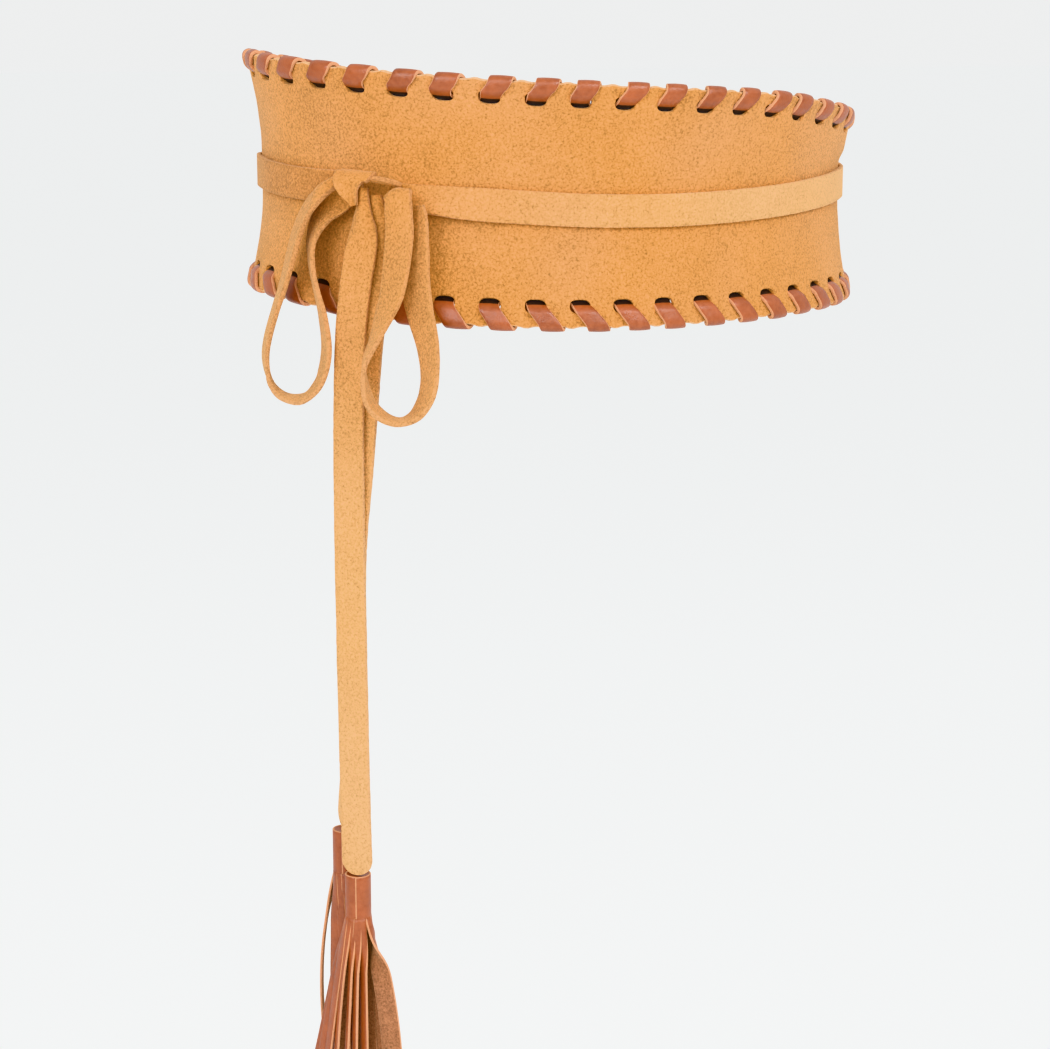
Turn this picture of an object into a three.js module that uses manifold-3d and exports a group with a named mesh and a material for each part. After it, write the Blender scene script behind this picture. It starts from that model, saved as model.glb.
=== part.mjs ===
// A wrap belt as it is worn: a laced suede band, two ties and a bow whose tails end in fringed tassels.
import * as THREE from 'three';
import { mergeVertices } from 'three/addons/utils/BufferGeometryUtils.js';
import Module from 'manifold-3d';

const wasm = await Module();
wasm.setup();

// Lengths are in millimetres. Angles round the waist are in degrees from the wearer's centre front (-Y),
// positive towards the wearer's left (+X). The origin is the centre of the waist, at the height of the ties.
const WAIST_HALF_WIDTH = 128;
const WAIST_HALF_DEPTH = 98;

// The band is cut into columns, one for each pair of lace holes, counted from below the bow.
const BAND_WALL = 2;
const BAND_CENTRE = -48;
const COLUMN_WIDTH = 17;
const COLUMNS_BEFORE = 19;
const COLUMNS_AFTER = 19;
const BARE_COLUMNS = 2;
const EDGE_FLARE = 5.4;
const INNER_FLARE = 2.4;
const LACED_DEPTH = 15;
const TIE_SEAT = 8.2;
const LACED_SHARE = 0.66;
const SEAT_SHARE = 0.28;

// The band's edges and the line of the ties round it, from its right-hand end at the back to its left-hand one.
const BAND_SHAPE = [
  { angle: -212, top: 11, waist: -5, bottom: -21, flare: 0 },
  { angle: -195, top: 23.5, waist: -2, bottom: -27, flare: 0 },
  { angle: -175, top: 36, waist: -1.5, bottom: -33, flare: 0.2 },
  { angle: -150, top: 46, waist: 2.5, bottom: -39, flare: 0.8 },
  { angle: -125, top: 51.5, waist: 5.5, bottom: -40, flare: 1 },
  { angle: -104, top: 52.5, waist: 6, bottom: -40, flare: 1 },
  { angle: -79, top: 49.7, waist: 3.2, bottom: -41.6, flare: 1 },
  { angle: -61, top: 46.9, waist: 1, bottom: -45.6, flare: 1 },
  { angle: -37, top: 43.3, waist: -3, bottom: -48.6, flare: 1 },
  { angle: -17, top: 41, waist: -6, bottom: -50, flare: 1 },
  { angle: 0, top: 39.2, waist: -6.6, bottom: -50.2, flare: 1 },
  { angle: 21, top: 36.3, waist: -5.5, bottom: -49.8, flare: 1 },
  { angle: 38, top: 32.2, waist: -3.6, bottom: -49.3, flare: 1 },
  { angle: 53, top: 28.6, waist: -1.8, bottom: -49, flare: 1 },
  { angle: 70, top: 25.4, waist: -1.6, bottom: -46, flare: 0.7 },
  { angle: 82, top: 23, waist: -2.6, bottom: -40, flare: 0.15 },
  { angle: 92, top: 20.6, waist: -3.4, bottom: -34, flare: 0 },
  { angle: 115, top: 11, waist: -5, bottom: -21, flare: 0 },
];

// Each edge's lacing: how far its holes lie from the edge, and how far past its hole, in columns, the lace goes
// over the edge. The holes are oval, wider along the edge.
const TOP_LACING = { side: 1, inset: 6.4, lean: 0.24 };
const BOTTOM_LACING = { side: -1, inset: 7.8, lean: 0.34 };
const HOLE_HALF_WIDTH = 4;
const HOLE_HALF_HEIGHT = 2.6;
const HOLE_SIDES = 8;

const LACE_WIDTH = 8.6;
const LACE_IN_HOLE = 6;
const LACE_THICKNESS = 1.3;
const LACE_LIFT = 1.05;
const EDGE_LIFT = 1.35;
const INNER_EDGE_LIFT = 1.6;

// One turn of a lace, from a hole to the next: step is in columns, inset from the edge, lift from the outer face,
// and tilt is the way its smooth side looks, from outwards (0) over the edge (90) to inwards (180). The lace runs
// through each hole to the outer face, slants over the edge and comes back down inside to the next hole.
function laceTurn({ inset, lean }) {
  return [
    { step: 0, inset: inset - 0.4, lift: -BAND_WALL - 0.8, tilt: 225, width: LACE_IN_HOLE },
    { step: 0, inset: inset - 0.4, lift: 0.8, tilt: 315, width: LACE_IN_HOLE },
    { step: lean / 3, inset: inset - 3.4, lift: LACE_LIFT, tilt: 360, width: LACE_WIDTH },
    { step: lean - 0.04, inset: -0.6, lift: EDGE_LIFT, tilt: 45, width: LACE_WIDTH },
    { step: lean, inset: -1.6, lift: -BAND_WALL / 2, tilt: 90, width: LACE_WIDTH },
    { step: lean + 0.04, inset: -0.6, lift: -BAND_WALL - INNER_EDGE_LIFT, tilt: 135, width: LACE_WIDTH },
    { step: 0.85, inset: inset - 2.2, lift: -BAND_WALL - LACE_LIFT, tilt: 180, width: LACE_WIDTH },
  ];
}

const TIE_WIDTH = 12.7;
const TIE_THICKNESS = 1.8;
const TIE_OUT = 0.3 + TIE_THICKNESS / 2;
const TIE_STEP = 8;

// The ties' centre lines: from the bow round the back to the seam on the band's far end.
const TIE_LEFT = [
  { angle: -262, out: TIE_OUT, height: -13 },
  { angle: -213, out: TIE_OUT, height: -13 },
  { angle: -195, out: TIE_OUT, height: -10 },
  { angle: -175, out: TIE_OUT, height: -5 },
  { angle: -150, out: TIE_OUT, height: 2 },
  { angle: -125, out: TIE_OUT, height: 5.5 },
  { angle: -104, out: TIE_OUT, height: 6 },
  { angle: -79, out: TIE_OUT, height: 3.2 },
  { angle: -61, out: TIE_OUT, height: 2.2 },
];
const TIE_RIGHT = [
  { angle: -54, out: 2.8, height: -0.8 },
  { angle: -48, out: 2.8, height: -1.7 },
  { angle: -41, out: 2.4, height: -2.8 },
  { angle: -35, out: 1.6, height: -3.6 },
  { angle: -28, out: TIE_OUT, height: -4.6 },
  { angle: -17, out: TIE_OUT, height: -6 },
  { angle: 0, out: TIE_OUT, height: -6.6 },
  { angle: 21, out: TIE_OUT, height: -5.3 },
  { angle: 38, out: TIE_OUT, height: -3.4 },
  { angle: 53, out: TIE_OUT, height: -1.6 },
  { angle: 70, out: TIE_OUT, height: -0.6 },
  { angle: 90, out: TIE_OUT, height: 0.6 },
  { angle: 104, out: TIE_OUT, height: 2.4 },
  { angle: 118, out: TIE_OUT, height: 3 },
  { angle: 162, out: TIE_OUT, height: 3 },
];

// Hanging straps. Turn is the way the strap's width points, seen from above: 0 is straight out from the waist at
// the bow and 90 is along the waist there.
const BOW_ANGLE = -58;
const LOOP_LEFT = [
  { angle: -64.7, out: 6.4, height: 5.6, turn: 60, width: 6 },
  { angle: -67.1, out: 9, height: 2.4, turn: 50, width: 10 },
  { angle: -68.7, out: 10.5, height: -1.1, turn: 42, width: 12.4 },
  { angle: -72.3, out: 11.5, height: -12, turn: 37, width: TIE_WIDTH },
  { angle: -76.1, out: 13.5, height: -34.8, turn: 33, width: TIE_WIDTH },
  { angle: -78.1, out: 14.5, height: -44.8, turn: 32, width: TIE_WIDTH },
  { angle: -81, out: 15, height: -58.7, turn: 31, width: TIE_WIDTH },
  { angle: -81.6, out: 15, height: -66.5, turn: 30, width: TIE_WIDTH },
  { angle: -79.9, out: 15, height: -73.8, turn: 30, width: TIE_WIDTH },
  { angle: -76.5, out: 15, height: -78, turn: 30, width: TIE_WIDTH },
  { angle: -72.7, out: 15, height: -79, turn: 30, width: TIE_WIDTH },
  { angle: -69.5, out: 15, height: -77.3, turn: 32, width: TIE_WIDTH },
  { angle: -66.2, out: 15, height: -70.6, turn: 36, width: TIE_WIDTH },
  { angle: -64.9, out: 14.5, height: -59.5, turn: 38, width: TIE_WIDTH },
  { angle: -65.8, out: 14, height: -46.6, turn: 36, width: TIE_WIDTH },
  { angle: -67.5, out: 13, height: -37.2, turn: 30, width: TIE_WIDTH },
  { angle: -69.3, out: 11.5, height: -27.9, turn: 32, width: TIE_WIDTH },
  { angle: -70.2, out: 9.5, height: -17.7, turn: 38, width: TIE_WIDTH },
  { angle: -68.6, out: 6.8, height: -8.1, turn: 62, width: TIE_WIDTH },
  { angle: -65.3, out: 4.8, height: -1.6, turn: 90, width: 12.2 },
  { angle: -62.8, out: 4.5, height: 3.8, turn: 94, width: 11 },
];
const LOOP_RIGHT = [
  { angle: -51.6, out: 5.2, height: -3.4, turn: 80, width: 7, rise: 14 },
  { angle: -51.5, out: 8.2, height: 0, turn: 79, width: 9, rise: 14 },
  { angle: -51.2, out: 10.4, height: 1.4, turn: 78, width: 11, rise: 14 },
  { angle: -50.8, out: 12.6, height: 0.2, turn: 77, width: 12, rise: 12 },
  { angle: -50.5, out: 13.4, height: -4.6, turn: 77, width: 12.5, rise: 6 },
  { angle: -50.2, out: 14.1, height: -16, turn: 77, width: TIE_WIDTH },
  { angle: -50.8, out: 17.1, height: -34.8, turn: 67, width: TIE_WIDTH },
  { angle: -52.1, out: 18.2, height: -44.3, turn: 53, width: TIE_WIDTH },
  { angle: -53.5, out: 20.2, height: -53.6, turn: 36, width: TIE_WIDTH },
  { angle: -54.9, out: 21.8, height: -61.9, turn: 28, width: TIE_WIDTH },
  { angle: -55.1, out: 22, height: -68.7, turn: 21, width: TIE_WIDTH },
  { angle: -54.2, out: 21.5, height: -77.4, turn: 14, width: TIE_WIDTH },
  { angle: -51.9, out: 21.5, height: -82.6, turn: 14, width: TIE_WIDTH },
  { angle: -49.1, out: 21.5, height: -84.2, turn: 24, width: TIE_WIDTH },
  { angle: -46.5, out: 21, height: -81.4, turn: 39, width: TIE_WIDTH },
  { angle: -44.6, out: 20.5, height: -74.4, turn: 47, width: TIE_WIDTH },
  { angle: -44.2, out: 19, height: -66.2, turn: 51, width: TIE_WIDTH },
  { angle: -44.8, out: 17, height: -55.1, turn: 61, width: TIE_WIDTH },
  { angle: -46.6, out: 14, height: -42.2, turn: 74, width: TIE_WIDTH },
  { angle: -47.6, out: 12.2, height: -33, turn: 80, width: TIE_WIDTH },
  { angle: -47.9, out: 11, height: -19.9, turn: 80, width: TIE_WIDTH },
  { angle: -48, out: 10.4, height: -8.5, turn: 80, width: 12.4 },
  { angle: -48.3, out: 10, height: -3.6, turn: 80, width: 11.4 },
];
const TAIL_FRONT = [
  { angle: -58.4, out: 8.8, height: 3, turn: 90, width: 3.5 },
  { angle: -58.3, out: 9.4, height: -1.6, turn: 90, width: 4.5 },
  { angle: -58.1, out: 10.3, height: -7.2, turn: 90, width: 7.5 },
  { angle: -57.9, out: 11.3, height: -16.6, turn: 90, width: 12.2 },
  { angle: -59, out: 12.5, height: -33.7, turn: 90, width: TIE_WIDTH },
  { angle: -59.9, out: 13.5, height: -54, turn: 90, width: TIE_WIDTH },
  { angle: -60.5, out: 14, height: -93.7, turn: 90, width: TIE_WIDTH },
  { angle: -60.6, out: 14, height: -137.3, turn: 90, width: TIE_WIDTH },
  { angle: -60.5, out: 14, height: -180, turn: 90, width: TIE_WIDTH },
  { angle: -60.2, out: 14.5, height: -220, turn: 90, width: TIE_WIDTH },
  { angle: -59.6, out: 15.8, height: -251.3, turn: 90, width: TIE_WIDTH },
  { angle: -59, out: 17.4, height: -264, turn: 90, width: 12 },
  { angle: -58.9, out: 17.8, height: -269.3, turn: 90, width: 8 },
];
const TAIL_REAR = [
  { angle: -56.9, out: 5.1, height: 0, turn: 90, width: 4.4 },
  { angle: -56.3, out: 5.6, height: -10.9, turn: 90, width: 9 },
  { angle: -55.9, out: 6.2, height: -24.2, turn: 90, width: 12 },
  { angle: -56.5, out: 9, height: -39.4, turn: 90, width: TIE_WIDTH },
  { angle: -57.2, out: 10.5, height: -54.8, turn: 90, width: TIE_WIDTH },
  { angle: -58.4, out: 10.5, height: -78.2, turn: 90, width: TIE_WIDTH },
  { angle: -59.6, out: 10.5, height: -103.1, turn: 90, width: TIE_WIDTH },
  { angle: -61.4, out: 10.5, height: -138, turn: 90, width: TIE_WIDTH },
  { angle: -61.8, out: 10.5, height: -174.8, turn: 88, width: TIE_WIDTH },
  { angle: -62, out: 10.2, height: -210, turn: 78, width: TIE_WIDTH },
  { angle: -63, out: 9.6, height: -232, turn: 58, width: TIE_WIDTH },
  { angle: -64.4, out: 9.1, height: -247, turn: 46, width: 11.6 },
  { angle: -64.5, out: 9.1, height: -253.9, turn: 44, width: 8 },
];

// The knot is one fold of strap gathered to a point over the tails, and the strap that goes on from its top as a
// small roof over the hollow between the fold and the right-hand loop.
const KNOT_FOLD = [
  { angle: -58.9, out: 12.4, height: -3.4, turn: 90, width: 2.5 },
  { angle: -59.2, out: 13.2, height: -0.6, turn: 90, width: 5 },
  { angle: -59.7, out: 13.5, height: 2.4, turn: 90, width: 9 },
  { angle: -60, out: 12.6, height: 5.6, turn: 90, width: 13.5 },
  { angle: -59.8, out: 10.4, height: 7.8, turn: 90, width: 16.5 },
  { angle: -59.6, out: 7, height: 8.5, turn: 90, width: 17 },
];
const KNOT_ROOF = [
  { angle: -63.2, out: 7.4, height: 6.7, rise: 8, width: 5.5 },
  { angle: -58.5, out: 8.4, height: 6.4, rise: 8, width: 6 },
  { angle: -56, out: 8.8, height: 6.2, rise: 8, width: 6 },
  { angle: -54, out: 8.3, height: 5.6, rise: 8, width: 5 },
  { angle: -52.4, out: 7.4, height: 4.7, rise: 8, width: 4.4 },
  { angle: -51.2, out: 6.6, height: 3.6, rise: 8, width: 3.8 },
];

const HEAD_RADIUS = 5.5;
const HEAD_LENGTH = 18;
const HEAD_SIDES = 16;
const FRINGE_LENGTH = 80;
const FRINGE_ROOT = 4;
const FRINGE_THICKNESS = 1.4;
const HEAD_GAP = 0.3;

// Where each head hangs from its tail's end; the front tail's end stands on the front half of its head.
const HANG_FRONT = { turn: -0.65, out: -2.3 };
const HANG_REAR = { turn: 0, out: 0 };

// A strip's slices, as shares of its free length; the first lies inside the head. The strips spread fastest
// just below the head.
const FRINGE_SLICES = [-0.1, 0, 0.2, 0.42, 0.7, 1];
const FRINGE_SPREAD = 0.85;

// The tassels' cut strips: where each leaves the head (degrees round it, 0 facing out), how far its end lies
// along the waist and outwards, its width, the turn of its width and a sideways bow halfway down.
const FRINGE_FRONT = [
  { from: -90, along: -22.5, out: 0.5, width: 6, turn: 100, bow: 1 },
  { from: -55, along: -16, out: 4, width: 5.5, turn: 62, bow: 0 },
  { from: -28, along: -9, out: 6, width: 5, turn: 20, bow: -1 },
  { from: -5, along: -2.5, out: 6.5, width: 5.5, turn: 35, bow: 0 },
  { from: 20, along: 4, out: 5.5, width: 5, turn: 70, bow: -0.5 },
  { from: 50, along: 10, out: 4, width: 5, turn: 80, bow: 0.5 },
  { from: 85, along: 17.5, out: 2, width: 8.5, turn: 95, bow: 2.5 },
  { from: 150, along: 8, out: 0.5, width: 6, turn: 90, bow: 0 },
  { from: 200, along: -5, out: 1, width: 5, turn: 90, bow: 0 },
];
const FRINGE_REAR = [
  { from: -90, along: -12, out: -1, width: 5, turn: 25, bow: -4 },
  { from: -50, along: -8.5, out: 0.5, width: 5.5, turn: 80, bow: 0.5 },
  { from: -10, along: -3, out: 1, width: 5.5, turn: 90, bow: 0 },
  { from: 30, along: 1.5, out: -1.5, width: 4.5, turn: 85, bow: 0 },
  { from: 85, along: 6, out: -4, width: 4.5, turn: 80, bow: 0 },
  { from: 150, along: 5.5, out: -4.5, width: 6, turn: 90, bow: 0.5 },
  { from: 215, along: -5, out: -4, width: 6, turn: 90, bow: 0 },
];

const SUEDE = { color: 0xdc9a57, roughness: 0.95, metalness: 0 };
const STRAP_SUEDE = { color: 0xe3a968, roughness: 0.95, metalness: 0 };
const SMOOTH_LEATHER = { color: 0xb0603a, roughness: 0.5, metalness: 0 };

const UP = new THREE.Vector3(0, 0, 1);
const radians = THREE.MathUtils.degToRad;

// Places on and round the waist.
function waistPoint(angle, out, height) {
  const t = radians(angle);
  return new THREE.Vector3((WAIST_HALF_WIDTH + out) * Math.sin(t), -(WAIST_HALF_DEPTH + out) * Math.cos(t), height);
}

function waistOutward(angle) {
  const t = radians(angle);
  return new THREE.Vector3(Math.sin(t) / WAIST_HALF_WIDTH, -Math.cos(t) / WAIST_HALF_DEPTH, 0).normalize();
}

function waistAlong(angle) {
  return new THREE.Vector3().crossVectors(UP, waistOutward(angle));
}

// A smooth value of one named column of a table whose rows are in order of angle.
function valueAt(table, name, angle) {
  const last = table.length - 1;
  const found = table.findIndex((row) => row.angle > angle);
  const i = THREE.MathUtils.clamp((found < 0 ? last : found) - 1, 0, last - 1);
  const slope = (k) => {
    const a = table[Math.max(k - 1, 0)];
    const b = table[Math.min(k + 1, last)];
    return (b[name] - a[name]) / (b.angle - a.angle);
  };
  const span = table[i + 1].angle - table[i].angle;
  const s = THREE.MathUtils.clamp((angle - table[i].angle) / span, 0, 1);
  const start = (1 + 2 * s) * (1 - s) ** 2 * table[i][name] + s * (1 - s) ** 2 * span * slope(i);
  return start + s * s * (3 - 2 * s) * table[i + 1][name] + s * s * (s - 1) * span * slope(i + 1);
}

// The angles where the band's columns meet, one column width apart along the waist.
function columnAngles() {
  const step = (angle) => {
    const t = radians(angle);
    const speed = Math.hypot(WAIST_HALF_WIDTH * Math.cos(t), WAIST_HALF_DEPTH * Math.sin(t));
    return THREE.MathUtils.radToDeg(COLUMN_WIDTH / speed);
  };
  const angles = [BAND_CENTRE];
  for (let i = 0; i < COLUMNS_AFTER; i += 1) {
    const from = angles.at(-1);
    angles.push(from + step(from + step(from) / 2));
  }
  for (let i = 0; i < COLUMNS_BEFORE; i += 1) {
    const from = angles[0];
    angles.unshift(from - step(from - step(from) / 2));
  }
  return angles;
}

const COLUMN_ANGLES = columnAngles();
const COLUMNS = COLUMN_ANGLES.length - 1;

// A point near the band's top edge (side 1) or bottom edge (side -1): inset runs from the edge down the wall,
// and lift is measured outwards from the outer face.
function edgePoint(side, angle, inset, lift) {
  const flare = valueAt(BAND_SHAPE, 'flare', angle);
  const edge = valueAt(BAND_SHAPE, side > 0 ? 'top' : 'bottom', angle);
  const rise = new THREE.Vector2(flare * (EDGE_FLARE - INNER_FLARE), LACED_DEPTH).normalize();
  const out = flare * EDGE_FLARE - rise.x * inset + rise.y * lift;
  return waistPoint(angle, out, edge - side * (rise.y * inset + rise.x * lift));
}

// The same inside one column, whose wall is flat: across runs from 0 to 1 over the column.
function columnPoint(side, column, across, inset, lift) {
  const a = edgePoint(side, COLUMN_ANGLES[column], inset, lift);
  return a.lerp(edgePoint(side, COLUMN_ANGLES[column + 1], inset, lift), across);
}

// The band's rows at one column line, from the top edge to the bottom one, each as an outer and an inner point:
// edge, laced depth and tie seat on each side of the waist. They draw together where the end tongues narrow.
function bandRows(angle) {
  const waist = valueAt(BAND_SHAPE, 'waist', angle);
  const layers = [0, -BAND_WALL];
  const halfRows = (side, name) => {
    const span = side * (valueAt(BAND_SHAPE, name, angle) - waist);
    const laced = Math.min(LACED_DEPTH, LACED_SHARE * span);
    const seat = Math.min(TIE_SEAT, SEAT_SHARE * span);
    return [
      layers.map((lift) => edgePoint(side, angle, 0, lift)),
      layers.map((lift) => edgePoint(side, angle, laced, lift)),
      layers.map((lift) => waistPoint(angle, lift, waist + side * seat)),
    ];
  };
  return [...halfRows(1, 'top'), ...halfRows(-1, 'bottom').reverse()];
}

function isLaced(column) {
  return column >= BARE_COLUMNS && column < COLUMNS - BARE_COLUMNS;
}

// A flat face of the column between an edge and the laced depth, with its punched hole, and the hole's rim.
function laceCell(addQuad, addTriangle, { side, inset }, column) {
  const near = side > 0 ? -LACED_DEPTH : 0;
  const far = side > 0 ? 0 : LACED_DEPTH;
  const outline = [[0, near], [COLUMN_WIDTH, near], [COLUMN_WIDTH, far], [0, far]];
  const corners = outline.map(([x, y]) => new THREE.Vector2(x, y));
  const hole = [];
  for (let k = 0; k < HOLE_SIDES; k += 1) {
    const turn = ((k + 0.5) / HOLE_SIDES) * 2 * Math.PI;
    const x = COLUMN_WIDTH / 2 + HOLE_HALF_WIDTH * Math.cos(turn);
    hole.push(new THREE.Vector2(x, -side * inset + HOLE_HALF_HEIGHT * Math.sin(turn)));
  }
  const flat = [...corners, ...hole];
  const place = (p, lift) => columnPoint(side, column, p.x / COLUMN_WIDTH, Math.abs(p.y), lift);
  for (const [a, b, c] of THREE.ShapeUtils.triangulateShape(corners, [hole])) {
    addTriangle(place(flat[a], 0), place(flat[b], 0), place(flat[c], 0));
    addTriangle(place(flat[a], -BAND_WALL), place(flat[c], -BAND_WALL), place(flat[b], -BAND_WALL));
  }
  hole.forEach((p, k) => {
    const q = hole[(k + 1) % HOLE_SIDES];
    addQuad(place(p, 0), place(q, 0), place(q, -BAND_WALL), place(p, -BAND_WALL));
  });
}

function bandGeometry() {
  const points = [];
  const addTriangle = (...corners) => points.push(...corners);
  const addQuad = (a, b, c, d) => {
    addTriangle(a, b, c);
    addTriangle(a, c, d);
  };
  const lines = COLUMN_ANGLES.map(bandRows);
  const lastRow = lines[0].length - 1;
  for (let column = 0; column < COLUMNS; column += 1) {
    const [left, right] = [lines[column], lines[column + 1]];
    for (let row = 0; row < lastRow; row += 1) {
      if (isLaced(column) && (row === 0 || row === lastRow - 1)) {
        laceCell(addQuad, addTriangle, row === 0 ? TOP_LACING : BOTTOM_LACING, column);
      } else {
        addQuad(left[row + 1][0], right[row + 1][0], right[row][0], left[row][0]);
        addQuad(left[row][1], right[row][1], right[row + 1][1], left[row + 1][1]);
      }
    }
    addQuad(left[0][0], right[0][0], right[0][1], left[0][1]);
    addQuad(left[lastRow][1], right[lastRow][1], right[lastRow][0], left[lastRow][0]);
  }
  const [first, final] = [lines[0], lines.at(-1)];
  for (let row = 0; row < lastRow; row += 1) {
    addQuad(first[row + 1][0], first[row][0], first[row][1], first[row + 1][1]);
    addQuad(final[row][0], final[row + 1][0], final[row + 1][1], final[row][1]);
  }
  const geometry = new THREE.BufferGeometry().setFromPoints(points);
  geometry.computeVertexNormals();
  return geometry;
}

// A strip through a list of frames, each with its centre, its width and the way its width points (side). A frame
// may also give the way its face looks; without it the slice is square to the path. The strip is a long box
// whose slices are moved onto the frames.
function stripGeometry(frames, thickness) {
  const last = frames.length - 1;
  const geometry = new THREE.BoxGeometry(1, thickness, last, 1, 1, last);
  const slices = frames.map((frame, i) => {
    const ahead = frames[Math.min(i + 1, last)].centre;
    const along = ahead.clone().sub(frames[Math.max(i - 1, 0)].centre).normalize();
    const side = frame.side.clone();
    if (!frame.face) side.addScaledVector(along, -side.dot(along));
    side.normalize();
    const face = frame.face ? frame.face.clone().normalize() : new THREE.Vector3().crossVectors(along, side);
    return { centre: frame.centre, side: side.multiplyScalar(frame.width), face };
  });
  const place = geometry.attributes.position;
  for (let k = 0; k < place.count; k += 1) {
    const slice = slices[Math.round(place.getZ(k) + last / 2)];
    const point = slice.centre.clone().addScaledVector(slice.side, place.getX(k));
    place.setXYZ(k, ...point.addScaledVector(slice.face, place.getY(k)));
  }
  geometry.computeVertexNormals();
  return geometry;
}

// The lace's slices all run along the edge that it folds over, so that it lies flat on both faces.
function laceFrame(side, hole, row) {
  const column = Math.min(Math.floor(hole + 0.5 + row.step), COLUMNS - 1);
  const across = hole + 0.5 + row.step - column;
  const centre = columnPoint(side, column, across, row.inset, row.lift);
  const outward = columnPoint(side, column, across, row.inset, row.lift + 1).sub(centre);
  const edgeward = columnPoint(side, column, across, row.inset - 1, row.lift).sub(centre);
  const along = columnPoint(side, column, across + side, row.inset, row.lift).sub(centre).negate();
  const tilt = radians(row.tilt);
  const face = outward.multiplyScalar(Math.cos(tilt)).addScaledVector(edgeward, Math.sin(tilt));
  return { centre, side: along, face, width: row.width };
}

function laceGeometry(lacing) {
  const frames = [];
  for (let hole = BARE_COLUMNS; hole < COLUMNS - BARE_COLUMNS; hole += 1) {
    frames.push(...laceTurn(lacing).map((row) => laceFrame(lacing.side, hole, row)));
  }
  return stripGeometry(frames, LACE_THICKNESS);
}

// A tie lies against the band, so its slices stand where the band's columns meet and evenly over the open back.
function tieGeometry(table) {
  const [first, last] = [table[0].angle, table.at(-1).angle];
  const turns = [-360, 0, 360].flatMap((turn) => COLUMN_ANGLES.map((angle) => angle + turn));
  const bandEnds = [COLUMN_ANGLES.at(-1) - 360, COLUMN_ANGLES[0], COLUMN_ANGLES.at(-1), COLUMN_ANGLES[0] + 360];
  const gaps = [[bandEnds[0], bandEnds[1]], [bandEnds[2], bandEnds[3]]].flatMap(([from, to]) => {
    const count = Math.round((to - from) / TIE_STEP);
    return Array.from({ length: count - 1 }, (unused, i) => from + ((i + 1) * (to - from)) / count);
  });
  const inside = [...turns, ...gaps].filter((angle) => angle > first + 1 && angle < last - 1);
  const angles = [first, ...inside.sort((a, b) => a - b), last];
  const frames = angles.map((angle) => ({
    centre: waistPoint(angle, valueAt(table, 'out', angle), valueAt(table, 'height', angle)),
    side: UP,
    width: TIE_WIDTH,
  }));
  return stripGeometry(frames, TIE_THICKNESS);
}

// A strap through the rows of a table, with some slices between each row and the next.
function strapGeometry(table, perRow) {
  const path = new THREE.CatmullRomCurve3(table.map((row) => waistPoint(row.angle, row.out, row.height)));
  const count = (table.length - 1) * perRow;
  const frames = Array.from({ length: count + 1 }, (unused, i) => {
    const a = table[Math.min(Math.floor(i / perRow), table.length - 2)];
    const b = table[Math.min(Math.floor(i / perRow), table.length - 2) + 1];
    const s = i / perRow - table.indexOf(a);
    const mix = (name) => THREE.MathUtils.lerp(a[name] ?? 0, b[name] ?? 0, s);
    const [turn, rise] = [radians(mix('turn')), radians(mix('rise'))];
    const side = waistOutward(BOW_ANGLE).multiplyScalar(Math.cos(turn) * Math.cos(rise));
    side.addScaledVector(waistAlong(BOW_ANGLE), Math.sin(turn) * Math.cos(rise));
    side.addScaledVector(UP, Math.sin(rise));
    return { centre: path.getPoint(i / count), side, width: mix('width') };
  });
  return stripGeometry(frames, TIE_THICKNESS);
}

// Closed geometries of one piece, joined into one body.
function fused(geometries) {
  const solids = geometries.map((geometry) => {
    geometry.deleteAttribute('normal');
    geometry.deleteAttribute('uv');
    const merged = mergeVertices(geometry, 1e-4);
    const vertProperties = new Float32Array(merged.attributes.position.array);
    return new wasm.Manifold(new wasm.Mesh({ numProp: 3, vertProperties, triVerts: merged.index.array }));
  });
  const mesh = wasm.Manifold.union(solids).getMesh();
  const geometry = new THREE.BufferGeometry();
  geometry.setAttribute('position', new THREE.BufferAttribute(mesh.vertProperties, 3));
  geometry.setIndex(new THREE.BufferAttribute(mesh.triVerts, 1));
  geometry.computeVertexNormals();
  return geometry;
}

// A tassel hangs straight down from the end of its tail: a rolled head with cut strips that spread below it.
function tasselGeometry(tail, hang, fringe) {
  const end = tail.at(-1);
  const angle = end.angle + hang.turn;
  const top = waistPoint(angle, end.out + hang.out, end.height - HEAD_GAP);
  const [outward, along] = [waistOutward(angle), waistAlong(angle)];
  const head = new THREE.CylinderGeometry(HEAD_RADIUS, HEAD_RADIUS, HEAD_LENGTH, HEAD_SIDES);
  head.rotateX(Math.PI / 2);
  head.translate(top.x, top.y, top.z - HEAD_LENGTH / 2);
  const at = (right, out, down) => top.clone().addScaledVector(along, right)
    .addScaledVector(outward, out).addScaledVector(UP, -down);
  const strips = fringe.map((row) => {
    const from = radians(row.from);
    const root = [FRINGE_ROOT * Math.sin(from), FRINGE_ROOT * Math.cos(from)];
    const turn = radians(row.turn);
    const side = outward.clone().multiplyScalar(Math.cos(turn)).addScaledVector(along, Math.sin(turn));
    const frames = FRINGE_SLICES.map((s) => {
      const free = Math.max(s, 0);
      const spread = free ** FRINGE_SPREAD;
      const right = root[0] + (row.along - root[0]) * spread + row.bow * Math.sin(Math.PI * free);
      const out = root[1] + (row.out - root[1]) * spread;
      return { centre: at(right, out, HEAD_LENGTH + s * FRINGE_LENGTH), side, width: row.width };
    });
    return stripGeometry(frames, FRINGE_THICKNESS);
  });
  return fused([head, ...strips]);
}

function addPiece(group, name, geometry, look) {
  const mesh = new THREE.Mesh(geometry, new THREE.MeshStandardMaterial(look));
  mesh.name = name;
  group.add(mesh);
}

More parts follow.
